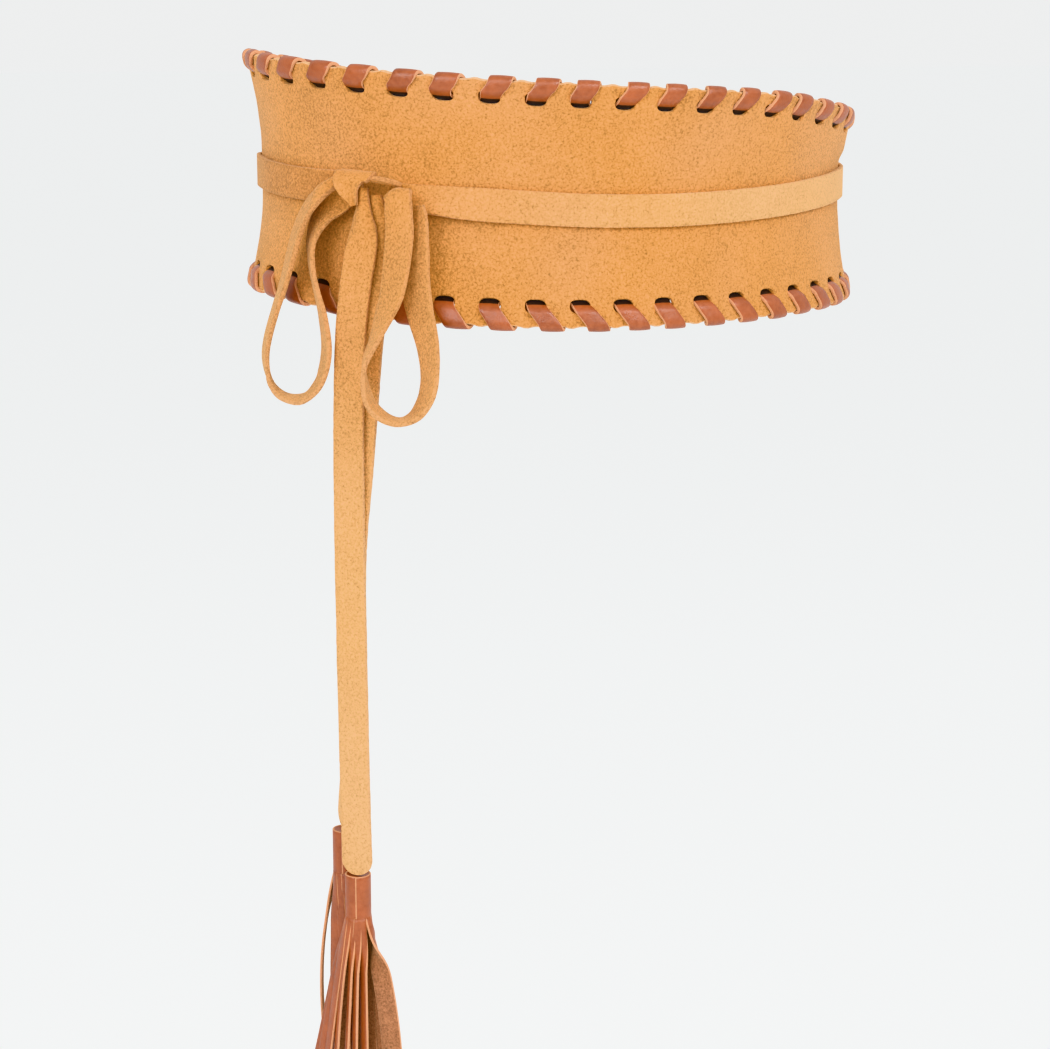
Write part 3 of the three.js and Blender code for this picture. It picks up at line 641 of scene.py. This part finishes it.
def whip_lacing():
    """A node tree that repeats a turn of lace along an edge line and lays each of its points against the wall."""
    tree = bpy.data.node_groups.new("whip_lacing", "GeometryNodeTree")
    kinds = {"Edge": "Geometry", "Turn": "Object", "Turns": "Int", "First": "Float", "Steps": "Int"}
    kinds |= {"Slack": "Vector", "Seed": "Int", "Face": "Material", "Cut side": "Material", "Bend": "Material"}
    names = {}
    for label, kind in kinds.items():
        socket = tree.interface.new_socket(label, in_out="INPUT", socket_type="NodeSocket" + kind)
        names[label] = socket.identifier
    tree.interface.new_socket("Lace", in_out="OUTPUT", socket_type="NodeSocketGeometry")
    given = add_node(tree, "NodeGroupInput").outputs

    def worked_out(kind, operation, *values):
        node = add_node(tree, kind, operation=operation)
        for socket, value in zip(node.inputs, values):
            tree.links.new(value, socket)
        return node

    def vector_math(operation, *values):
        return output(worked_out("ShaderNodeVectorMath", operation, *values))

    def named(label, kind):
        return output(add_node(tree, "GeometryNodeInputNamedAttribute", {"Name": label}, data_type=kind))

    start = output(add_node(tree, "ShaderNodeCombineXYZ", {"X": given["First"]}))
    line = {"Count": given["Turns"], "Start Location": start, "Offset": (1, 0, 0)}
    line = output(add_node(tree, "GeometryNodeMeshLine", line))
    turn = output(add_node(tree, "GeometryNodeObjectInfo", {"Object": given["Turn"]}), "Geometry")
    turns = output(add_node(tree, "GeometryNodeInstanceOnPoints", {"Points": line, "Instance": turn}))
    loose = {"Min": (-1, -1, 0), "Max": (1, 0, 0), "Seed": given["Seed"]}
    loose = output(add_node(tree, "FunctionNodeRandomValue", loose, data_type="FLOAT_VECTOR"))
    kept = {"Geometry": turns, "Name": "loose", "Value": loose}
    kept = add_node(tree, "GeometryNodeStoreNamedAttribute", kept, data_type="FLOAT_VECTOR", domain="INSTANCE")
    solid = output(add_node(tree, "GeometryNodeRealizeInstances", {"Geometry": output(kept)}))

    shift = vector_math("MULTIPLY", named("loose", "FLOAT_VECTOR"), given["Slack"])
    shift = vector_math("MULTIPLY", shift, named("ease", "FLOAT"))
    flat = vector_math("ADD", output(add_node(tree, "GeometryNodeInputPosition")), shift)
    parts = add_node(tree, "ShaderNodeSeparateXYZ", {"Vector": flat})
    steps = output(worked_out("ShaderNodeMath", "MULTIPLY", parts.outputs["X"], given["Steps"]))
    before, share = (worked_out("ShaderNodeMath", operation, steps) for operation in ("FLOOR", "FRACT"))
    after = worked_out("ShaderNodeMath", "ADD", output(before))
    after.inputs[1].default_value = 1

    def on_edge(value):
        ends = []
        for index in (before, after):
            sample = {"Geometry": given["Edge"], "Value": value, "Index": output(index)}
            ends.append(output(add_node(tree, "GeometryNodeSampleIndex", sample, data_type="FLOAT_VECTOR")))
        inputs = {"Factor": output(share), "A": ends[0], "B": ends[1]}
        return output(add_node(tree, "ShaderNodeMix", inputs, data_type="VECTOR"))

    place = on_edge(output(add_node(tree, "GeometryNodeInputPosition")))
    for label, distance in (("down", parts.outputs["Y"]), ("outward", parts.outputs["Z"])):
        place = vector_math("ADD", place, vector_math("MULTIPLY", on_edge(named(label, "FLOAT_VECTOR")), distance))
    laid = output(add_node(tree, "GeometryNodeSetPosition", {"Geometry": solid, "Position": place}))
    joined = output(add_node(tree, "GeometryNodeMergeByDistance", {"Geometry": laid, "Distance": 0.01 * MM}))
    faced = output(add_node(tree, "GeometryNodeSetMaterial", {"Geometry": joined, "Material": given["Face"]}))
    cut = {"Geometry": faced, "Selection": named("cut_side", "BOOLEAN"), "Material": given["Cut side"]}
    cut = output(add_node(tree, "GeometryNodeSetMaterial", cut))
    bend = {"Geometry": cut, "Selection": named("bend", "BOOLEAN"), "Material": given["Bend"]}
    made = output(add_node(tree, "GeometryNodeSetMaterial", bend))
    add_node(tree, "NodeGroupOutput", {"Lace": made})
    return tree, names


def made_by_nodes(base, tree, names, values):
    """A plain mesh of what a node tree makes from a base object, which is then removed."""
    modifier = base.modifiers.new("nodes", "NODES")
    modifier.node_group = tree
    for label, value in values.items():
        modifier[names[label]] = value
    graph = bpy.context.evaluated_depsgraph_get()
    mesh = bpy.data.meshes.new_from_object(base.evaluated_get(graph))
    bpy.data.objects.remove(base)
    return mesh


def close_ends(mesh):
    """Fills a strip's two open ends."""
    work = bmesh.new()
    work.from_mesh(mesh)
    bmesh.ops.holes_fill(work, edges=[edge for edge in work.edges if edge.is_boundary], sides=0)
    work.to_mesh(mesh)
    work.free()


PEBBLE = 0.0011
CLOUDS_PER_METRE = 90
GRAIN_DEPTH = 0.0003
MOST_DEEP, MOST_RUBBED = 0.75, 0.35
PORE_RANGE = (0.3, 0.7)


def smooth_leather(name, face, deep, rub, roughness=0.36):
    """Finished leather: an even dyed face, darker in soft clouds, with a pebbled grain about 1.1 mm wide and a soft
    gloss."""
    material, tree = new_material(name)
    place = output(add_node(tree, "ShaderNodeTexCoord"), "Object")
    cells = add_node(tree, "ShaderNodeTexVoronoi", {"Vector": place, "Scale": 1 / PEBBLE}, feature="DISTANCE_TO_EDGE")
    pores = add_node(tree, "ShaderNodeTexNoise", {"Vector": place, "Scale": 0.6 / PEBBLE, "Detail": 3})
    cloud = add_node(tree, "ShaderNodeTexNoise", {"Vector": place, "Scale": CLOUDS_PER_METRE, "Detail": 2})
    dyed = mixed(tree, ranged(tree, output(cloud), 0, MOST_DEEP, *PORE_RANGE), linear(face), linear(deep))
    rubbed = mixed(tree, ranged(tree, output(pores), 0, MOST_RUBBED, *PORE_RANGE), dyed, linear(rub))
    gloss = ranged(tree, output(pores), roughness - 0.07, roughness + 0.12, *PORE_RANGE)
    grain = add_node(tree, "ShaderNodeBump", {"Height": output(cells), "Strength": 0.35, "Distance": GRAIN_DEPTH})
    normal = {"Height": output(pores), "Strength": 0.3, "Distance": GRAIN_DEPTH, "Normal": output(grain)}
    normal = output(add_node(tree, "ShaderNodeBump", normal))
    inputs = {"Base Color": rubbed, "Roughness": gloss, "Specular IOR Level": 0.5, "Normal": normal}
    shader = add_node(tree, "ShaderNodeBsdfPrincipled", inputs)
    add_node(tree, "ShaderNodeOutputMaterial", {"Surface": output(shader)})
    return material


# Cognac leather: dyed through on its face, glossy where light meets it. Its cut side is the pale undyed core.
cognac = smooth_leather("cognac_leather", "#924B27", "#74391E", "#A9623C")
pale_cut = suede("cut_side_of_leather", "#C48C68", speckle=0.14)

# When the belt is worn its holes look almost black, mostly from shadow. Here light comes in behind them, so the outer
# face of the lace inside each hole has a dark colour in place of that shadow; the real lace is taken as one colour.
dark_bend = smooth_leather("lace_shaded_in_hole", "#24130C", "#180C07", "#331C12", roughness=0.6)

lace_tree, lace_names = whip_lacing()
for side, name in ((1, "top_lace"), (-1, "bottom_lace")):
    one_turn = lace_turn(**LACING[side])
    values = {"Turn": one_turn, "Turns": COLUMNS - 2 * BARE_COLUMNS, "First": BARE_COLUMNS + 0.5}
    values |= {"Steps": EDGE_STEPS, "Slack": LACE_SLACK, "Seed": LACE_SEEDS[side]}
    values |= {"Face": cognac, "Cut side": pale_cut, "Bend": dark_bend}
    lace_mesh = made_by_nodes(edge_line(name, side), lace_tree, lace_names, values)
    close_ends(lace_mesh)
    finish_piece(add_object("edge_" + name, lace_mesh), "smooth_leather", name)
    bpy.data.objects.remove(one_turn)

# The ties are two suede straps, 12.7 mm wide and 1.8 mm thick, of the same suede. Each is taken to be sewn to one end
# of the band; it crosses the open back and comes round the waist over the band, flat against it, to the bow.
TIE_WIDTH = 12.7
TIE_THICKNESS = 1.8
TIE_OUT = 0.3 + TIE_THICKNESS / 2
BOW_ANGLE = -58

# A strap's mesh: the length of its slices and the steps across it, how far its sides fray and its face wavers, and
# over what lengths.
SLICE = 1.6
FRAY = 0.14
FRAY_LENGTH = 1.3
WAVER = 0.22
WAVER_LENGTH = 19
WAVER_SHIFT = Vector((5, 0, 0))
ROUTE_STEPS = 40
MOST_GATHER = 2.4
STRAP_ACROSS = 8

# The ties' centre lines. Rise is how upright the strap's width stands: at 90 it lies against the wall, and less
# than that leans its lower edge out. The right-hand tie is drawn in where it enters the knot.
TIE_COLUMNS = ("angle", "out", "height", "rise", "width")
TIE_LEFT = [
    (-262, TIE_OUT, -13),
    (-213, TIE_OUT, -13),
    (-195, TIE_OUT, -10),
    (-175, TIE_OUT, -5),
    (-150, TIE_OUT, 2),
    (-125, TIE_OUT, 5.5),
    (-104, TIE_OUT, 6),
    (-79, TIE_OUT, 3.2),
    (-61, TIE_OUT, 2.2),
]
TIE_RIGHT = [
    (-54, 2.8, -0.4, 78, 10.2),
    (-48, 2.8, -1.2, 74, 10.8),
    (-41, 2.4, -2.6, 78, 12.2),
    (-35, 1.6, -3.6, 86),
    (-28, TIE_OUT, -4.6, 89),
    (-17, TIE_OUT, -6),
    (0, TIE_OUT, -6.6),
    (21, TIE_OUT, -5.3),
    (38, TIE_OUT, -3.4),
    (53, TIE_OUT, -1.6),
    (70, TIE_OUT, -0.6),
    (90, TIE_OUT, 0.6),
    (104, TIE_OUT, 2.4),
    (118, TIE_OUT, 3),
    (162, TIE_OUT, 3),
]


def strap_table(columns, rows, turn=0, rise=0):
    """A strap's rows as dicts, each with how far along the strap it lies, in millimetres. A row that leaves out its
    last columns has the strap's own width and the rise given here."""
    table, length = [], 0
    for row in rows:
        row = {"turn": turn, "rise": rise, "width": TIE_WIDTH} | dict(zip(columns, row))
        if table:
            ends = [Vector((r["angle"], r["out"], r["height"])) for r in (table[-1], row)]
            route = [waist_point(*ends[0].lerp(ends[1], k / ROUTE_STEPS)) for k in range(ROUTE_STEPS + 1)]
            length += sum((b - a).length for a, b in zip(route, route[1:])) / MM
        table.append(row | {"along": length})
    return table


def waist_outward(angle):
    """The level direction square to the waist's wall at an angle."""
    t = math.radians(angle)
    return Vector((math.sin(t) / WAIST_HALF_WIDTH, -math.cos(t) / WAIST_HALF_DEPTH, 0)).normalized()


def width_direction(turn, rise):
    """The way a strap's width points: turn is 0 straight out at the bow and 90 along the waist, rise is upwards."""
    turn, rise = math.radians(turn), math.radians(rise)
    outward = waist_outward(BOW_ANGLE)
    along = Vector((0, 0, 1)).cross(outward)
    level = outward * math.cos(turn) + along * math.sin(turn)
    return level * math.cos(rise) + Vector((0, 0, math.sin(rise)))


def strap_slices(table, step=SLICE):
    """Even slices of a strap: centre and travel, side and face directions, and the row's other columns."""
    length = table[-1]["along"]
    count = max(2, round(length / step))
    names = [name for name in table[0] if name != "along"]
    slices = []
    for i in range(count + 1):
        along = i * length / count
        row = {name: value_at(table, name, along, "along") for name in names}
        row["along"] = along
        row["centre"] = waist_point(row["angle"], row["out"], row["height"])
        slices.append(row)
    for i, row in enumerate(slices):
        travel = slices[min(i + 1, count)]["centre"] - slices[max(i - 1, 0)]["centre"]
        travel.normalize()
        side = width_direction(row["turn"], row["rise"])
        side = (side - travel * side.dot(travel)).normalized()
        row |= {"side": side, "face": travel.cross(side)}
    return slices


def gather(width):
    """How high a strap's middle stands where it is drawn in to less than its own width: the rise of a shallow arc
    with that much length to spare, in millimetres."""
    spare = max(TIE_WIDTH / max(width, 1) - 1, 0)
    return min(width * math.sqrt(3 / 8 * spare), MOST_GATHER)


def strap_rings(slices, across=STRAP_ACROSS, gathered=1.0):
    """Rings of points for a suede strap: a little out of true along its length, with softly frayed sides."""
    rings = []
    for row in slices:
        place = row["centre"] / (WAVER_LENGTH * MM)
        centre = row["centre"] + row["face"] * (WAVER * MM * noise.noise(place + WAVER_SHIFT))
        cup = 0 if "cut_end" in row else gathered * gather(row["width"])
        ring = []
        for x, up in strip_ring(row["width"], TIE_THICKNESS, cup, across):
            point = centre + (row["side"] * x + row["face"] * (up - cup / 2)) * MM
            if abs(x) > row["width"] / 2 - 2 * CORNER:
                point += row["side"] * (math.copysign(FRAY, x) * MM * noise.noise(point / (FRAY_LENGTH * MM)))
            ring.append(point)
        rings.append(ring)
    return rings


# Strap suede: the same matt nap, paler where the straps lie or hang free of the bow. The left-hand tie is darker
# near the bow, in a colour of its own: that darkening is painted shade. The left-hand tie looks darker near the
# bow, so it has a colour of its own; whether that is wear or shade isn't known. Cut sides are rougher.
strap_suede = suede("strap_suede", "#BA8149", "#CB9A64", patch=0.03)
strap_suede_painted_shade = suede("strap_suede_painted_shade", "#AC7645", "#CB9A64", fade=(0.06, 0.2), patch=0.03)
strap_side = suede("strap_cut_side", "#B27C4C", "#C49566", speckle=0.45)
STRAP_MARKS = [mark % 2 for mark in strip_marks(STRAP_ACROSS)]


def suede_strap(name, table, node, face=strap_suede, gathered=1.0, cut=list):
    """A suede strap through a table's rows; cut shapes its end."""
    mesh = tube(strap_rings(cut(strap_slices(table)), gathered=gathered), STRAP_MARKS)
    strap = new_piece(name, *mesh, [face, strap_side], "strap_suede", node)


left_table = strap_table(TIE_COLUMNS, TIE_LEFT, turn=180, rise=90)
right_table = strap_table(TIE_COLUMNS, TIE_RIGHT, turn=180, rise=90)
# The left-hand tie's suede carries painted shade near the bow.
suede_strap("tie_round_left", left_table, "tie_left", strap_suede_painted_shade)
suede_strap("tie_round_right", right_table, "tie_right", gathered=0.3)

# The bow is tied in the same straps. Two loops hang from the knot, turned almost edge-on where they round their
# lowest point, and lie side by side with the tails. Turn is 90 where a strap's width runs along the waist, and 0
# where it stands straight out.
HUNG_COLUMNS = ("angle", "out", "height", "turn", "width", "rise")
LOOP_LEFT = [
    (-64.7, 6.4, 5.6, 60, 6),
    (-67.1, 9, 2.4, 48, 10),
    (-68.7, 10.5, -1.1, 42, 12.4),
    (-72.3, 11.5, -12, 40),
    (-76.1, 13.5, -34.8, 36),
    (-78.1, 14.5, -44.8, 34),
    (-81, 15, -58.7, 34),
    (-81.6, 15, -66.5, 34),
    (-79.9, 15, -73.8, 32),
    (-76.5, 15, -78, 30),
    (-72.7, 15, -79, 30),
    (-69.5, 15, -77.3, 32),
    (-66.2, 15, -70.6, 36),
    (-64.9, 14.5, -59.5, 38),
    (-65.8, 14, -46.6, 36),
    (-67.5, 13, -37.2, 32),
    (-69.3, 11.5, -27.9, 32),
    (-70.2, 9.5, -17.7, 38),
    (-68.6, 6.8, -8.1, 62),
    (-65.3, 4.8, -1.6, 90, 12.2),
    (-62.8, 4.5, 3.8, 94, 11),
]
LOOP_RIGHT = [
    (-51.6, 6, -3.2, 80, 7, 14),
    (-51.5, 8.2, 0, 79, 9, 14),
    (-51.2, 10.4, 1.4, 78, 11, 14),
    (-50.8, 12.6, 0.2, 77, 12, 12),
    (-50.5, 13.4, -4.6, 77, 12.5, 6),
    (-50.2, 14.1, -16, 77),
    (-50.8, 17.1, -34.8, 67),
    (-52.1, 18.2, -44.3, 53),
    (-53.5, 20.2, -53.6, 36),
    (-54.9, 21.8, -61.9, 28),
    (-55.1, 22, -68.7, 21),
    (-54.2, 21.5, -77.4, 14),
    (-51.9, 21.5, -82.6, 14),
    (-49.1, 21.5, -84.2, 24),
    (-46.5, 21, -81.4, 39),
    (-44.6, 20.5, -74.4, 47),
    (-44.2, 19, -66.2, 51),
    (-44.8, 17, -55.1, 61),
    (-46.6, 14, -42.2, 74),
    (-47.6, 12.2, -33, 80),
    (-47.9, 11, -19.9, 80),
    (-48, 10.4, -8.5, 80, 12.4),
    (-48.3, 10, -3.6, 80, 11.4),
]
for name, rows, node in (("loop_left", LOOP_LEFT, "bow_loop_left"), ("loop_right", LOOP_RIGHT, "bow_loop_right")):
    suede_strap(name, strap_table(HUNG_COLUMNS, rows), node)

# The tails are the straps' free ends. They hang from the knot with their width along the waist, and the rear one turns
# towards its end. Each is cut round at its end, where its tassel hangs.
TAIL_FRONT = [
    (-58.4, 8.8, 3, 90, 3.5),
    (-58.3, 9.4, -1.6, 90, 4.5),
    (-58.1, 10.3, -7.2, 90, 7.5),
    (-57.9, 11.3, -16.6, 90, 12.2),
    (-59, 12.5, -33.7, 90),
    (-59.9, 13.5, -54, 90),
    (-60.5, 14, -93.7, 90),
    (-60.6, 14, -137.3, 90),
    (-60.5, 14, -180, 90),
    (-60.2, 14.5, -220, 90),
    (-59.6, 15.8, -251.3, 90),
    (-59, 17.4, -264, 90),
    (-58.9, 17.8, -269.3, 90),
]
TAIL_REAR = [
    (-56.9, 5.1, 0, 90, 4.4),
    (-56.3, 5.6, -10.9, 90, 9),
    (-55.9, 6.2, -24.2, 90, 12),
    (-56.5, 9, -39.4, 90),
    (-57.2, 10.5, -54.8, 90),
    (-58.4, 10.5, -78.2, 90),
    (-59.6, 10.5, -103.1, 90),
    (-61.4, 10.5, -138, 90),
    (-61.8, 10.5, -174.8, 88),
    (-62, 10.2, -210, 78),
    (-63, 9.6, -232, 58),
    (-64.4, 9.1, -247, 46),
    (-64.5, 9.1, -253.9, 44),
]
END_ROUND = 5.9
END_TURNS = [k * 7.5 for k in range(12)] + [88]


def rounded_end(slices):
    """Draws a strap's last few slices in, so that its end is round."""
    length = slices[-1]["along"]
    kept = [row for row in slices if row["along"] < length - END_ROUND]
    ends = []
    for turn in map(math.radians, END_TURNS):
        back = END_ROUND * (1 - math.sin(turn))
        place = max(k for k, row in enumerate(slices) if row["along"] <= length - back or k == 0)
        a, b = slices[min(place, len(slices) - 2)], slices[min(place, len(slices) - 2) + 1]
        share = (length - back - a["along"]) / (b["along"] - a["along"])
        row = dict(b, centre=a["centre"].lerp(b["centre"], share), along=length - back)
        row |= {"width": TIE_WIDTH - 2 * END_ROUND * (1 - math.cos(turn)), "cut_end": True}
        ends.append(row)
    return kept + ends


for name, rows, node in (("tail_long", TAIL_FRONT, "tail_front"), ("tail_short", TAIL_REAR, "tail_rear")):
    suede_strap(name, strap_table(HUNG_COLUMNS, rows), node, gathered=0.9, cut=rounded_end)

# The knot is a fold of strap gathered to a point over the tails. From its top the strap goes on to the right, as seen
# from outside, as a small roof over the hollow between the fold and the right-hand loop.
KNOT_FOLD = [
    (-58.9, 12.4, -3.4, 90, 2.5),
    (-59.2, 13.2, -0.6, 90, 5),
    (-59.7, 13.5, 2.4, 90, 9),
    (-60, 12.6, 5.6, 90, 13.5),
    (-59.8, 10.4, 7.8, 90, 16.5),
    (-59.6, 7, 8.5, 90, 17),
]
KNOT_ROOF = [
    (-63.2, 7.4, 6.7, 0, 5.5, 8),
    (-58.5, 8.4, 6.4, 0, 6, 8),
    (-56, 8.8, 6.2, 0, 6, 8),
    (-54, 8.3, 5.6, 0, 5, 8),
    (-52.4, 7.4, 4.7, 0, 4.4, 8),
    (-51.2, 6.6, 3.6, 0, 3.8, 8),
]
FOLD_ACROSS = 16
FOLD_SLICE = 0.6
ROOF_SLICE = 0.8


def join_tube(mesh, more):
    """Adds a second closed tube to the points, faces and marks of a first."""
    points, faces, marks = mesh
    faces += [tuple(len(points) + k for k in face) for face in more[1]]
    points += more[0]
    marks += more[2]


fold = strap_slices(strap_table(HUNG_COLUMNS, KNOT_FOLD), FOLD_SLICE)
roof = strap_slices(strap_table(HUNG_COLUMNS, KNOT_ROOF), ROOF_SLICE)
knot = tube(strap_rings(fold, FOLD_ACROSS, gathered=0.5), [mark % 2 for mark in strip_marks(FOLD_ACROSS)])
join_tube(knot, tube(strap_rings(roof, gathered=0.3), STRAP_MARKS))
new_piece("bow_knot", *knot, [strap_suede, strap_side], "strap_suede", "knot")

# Each tassel is one piece of the cognac leather, rolled up into a head at the strap's end and cut below it into
# strips. The roll's outer end shows as a pale seam, and the strips twist and spread as they hang.
HEAD_RADIUS = 5.5
HEAD_LENGTH = 18
HEAD_GAP = 0.3
HEAD_SIDES = 72
HEAD_ROWS = 12
HEAD_RIM = [(0.75, 0.12), (0.6, 0.02), (0.2, 0), (0, 0.2)]
HANG_FRONT = (-0.65, -2.3)
HANG_REAR = (0, 0)
SEAM_ANGLE = 22
SEAM_STEP = 0.5
SEAM_SPAN = 6
FRINGE_LENGTH = 80
FRINGE_THICKNESS = 1.0
FRINGE_SPREAD = 0.85
FRINGE_SLICES = 44
FRINGE_ACROSS = 4
FRINGE_CUP = 0.15
ROOT_WIDTH = 3.2
ROOT_PROUD = 0.04
ROOT_SHARE = 0.006

# The cut strips: where each leaves the head (degrees round it, 0 facing out), how far its end lies along the waist
# and outwards, its width, the turn of its width and a sideways bow halfway down. A strip takes the shorter way to its
# turn, or to half a turn from it, unless that turn is over 180. The three shares of its length say how soon it is
# turned, at its own width and flat.
FRINGE_COLUMNS = ("from", "along", "out", "width", "turn", "bow")
TURNED_BY, WIDENED_BY, FLAT_BY = 0.3, 0.22, 0.15
FRINGE_FRONT = [
    (-100, -23.5, -0.5, 5, 75, 1),
    (-68, -20, 2.5, 4.5, 70, 0.5),
    (-42, -15, 5, 4.5, 58, 0),
    (-18, -9, 6, 4, 50, -1),
    (4, -4, 6.5, 4, 45, 0),
    (26, 0.5, 6.5, 4.5, 52, -0.3),
    (48, 5, 5.5, 4.5, 66, 0),
    (80, 17, 2.5, 8.5, 275, 2.5),
    (118, 12, 0.5, 5.5, 85, 0.5),
    (152, 6, 0.5, 5, 90, 0),
    (186, -2, 0.5, 5, 90, 0),
    (222, -10, 0, 5, 90, 0),
]
FRINGE_REAR = [
    (-92, -12, -1, 4.5, 25, -4),
    (-62, -8, 0, 5, 70, 0.6),
    (-30, -5.5, 1, 4.5, 85, 0),
    (0, -1, 0.5, 4.5, 90, 0),
    (30, 1.5, -1.5, 4, 85, 0),
    (70, 4, -3, 4, 80, 0),
    (110, 7, -4, 4.5, 80, 0),
    (150, 5.5, -4.5, 5, 90, 0.5),
    (190, 0, -5, 5, 90, 0),
    (230, -7, -4, 5, 90, 0),
]


def tassel(name, table, hang, fringe, node):
    """A rolled head and its cut strips, as one piece; hang is how far it is turned and out from its tail's end."""
    end = table[-1]
    angle = end["angle"] + hang[0]
    top = waist_point(angle, end["out"] + hang[1], end["height"] - HEAD_GAP)
    outward = waist_outward(angle)
    along = Vector((0, 0, 1)).cross(outward)

    def at(right, out, down):
        return top + (along * right + outward * out - Vector((0, 0, down))) * MM

    def roll(shrink, down):
        ring = []
        for k in range(HEAD_SIDES + 1):
            share = k / HEAD_SIDES
            radius = HEAD_RADIUS - SEAM_STEP * share - shrink
            turn = math.radians(SEAM_ANGLE + (360 - SEAM_SPAN) * share)
            ring.append(at(radius * math.sin(turn), radius * math.cos(turn), down))
        return ring

    marks = [0] * HEAD_SIDES + [1]
    rows = HEAD_RIM + [(0, 0.2 + (HEAD_LENGTH - 0.4) * k / HEAD_ROWS) for k in range(1, HEAD_ROWS + 1)]
    rows += [(0, HEAD_LENGTH - 0.1), (0, HEAD_LENGTH - 0.02), (0.01, HEAD_LENGTH)]
    points, faces, used = tube([roll(*row) for row in rows], marks)
    # The roll's top end is closed in the cognac face colour in place of pale cut edges: painted shade for the hollow
    # inside the roll. Its rim is pale cut leather and its bottom end the flesh side.
    pale_rim = (len(HEAD_RIM) - 1) * (HEAD_SIDES + 1)
    used = [1] * pale_rim + used[pale_rim:-2] + [0, 2]
    for row in fringe:
        row = dict(zip(FRINGE_COLUMNS, row))
        root_turn = 90 + row["from"]
        last_turn = row["turn"] + (0 if row["turn"] > 180 else 180 * round((root_turn - row["turn"]) / 180))
        start = math.radians(row["from"])
        share = min(((row["from"] - SEAM_ANGLE) % 360) / (360 - SEAM_SPAN), 1)
        outside = HEAD_RADIUS - SEAM_STEP * share + ROOT_PROUD
        half_root = math.asin(ROOT_WIDTH / 2 / outside)
        radius = outside * math.cos(half_root) - FRINGE_THICKNESS / 2
        root_cup = outside * (1 - math.cos(half_root))
        root = Vector((radius * math.sin(start), radius * math.cos(start)))
        rings = []
        for i in range(FRINGE_SLICES + 1):
            s = i / FRINGE_SLICES * (1 + ROOT_SHARE) - ROOT_SHARE
            free = max(s, 0)
            spread = free ** FRINGE_SPREAD
            right = root.x + (row["along"] - root.x) * spread + row["bow"] * math.sin(math.pi * free)
            out = root.y + (row["out"] - root.y) * spread
            turn = math.radians(root_turn + (last_turn - root_turn) * smooth(free / TURNED_BY))
            side = outward * math.cos(turn) + along * math.sin(turn)
            width = ROOT_WIDTH + (row["width"] - ROOT_WIDTH) * smooth(free / WIDENED_BY)
            centre = at(right, out, HEAD_LENGTH + s * FRINGE_LENGTH)
            face = Vector((0, 0, -1)).cross(side)
            cup = root_cup + (FRINGE_CUP - root_cup) * smooth(free / FLAT_BY)
            ring = strip_ring(width, FRINGE_THICKNESS, cup, FRINGE_ACROSS)
            rings.append([centre + (side * x + face * y) * MM for x, y in ring])
        join_tube((points, faces, used), tube(rings, strip_marks(FRINGE_ACROSS)))
    new_piece(name, points, faces, used, [cognac, pale_cut, flesh_side], "smooth_leather", node)


# The flesh side of the leather: brown undyed fibre, matt and a little hairy.
flesh_side = suede("flesh_side_of_leather", "#926346", patch=0.012)
tassel("tassel_long", strap_table(HUNG_COLUMNS, TAIL_FRONT), HANG_FRONT, FRINGE_FRONT, "tassel_front")
tassel("tassel_short", strap_table(HUNG_COLUMNS, TAIL_REAR), HANG_REAR, FRINGE_REAR, "tassel_rear")
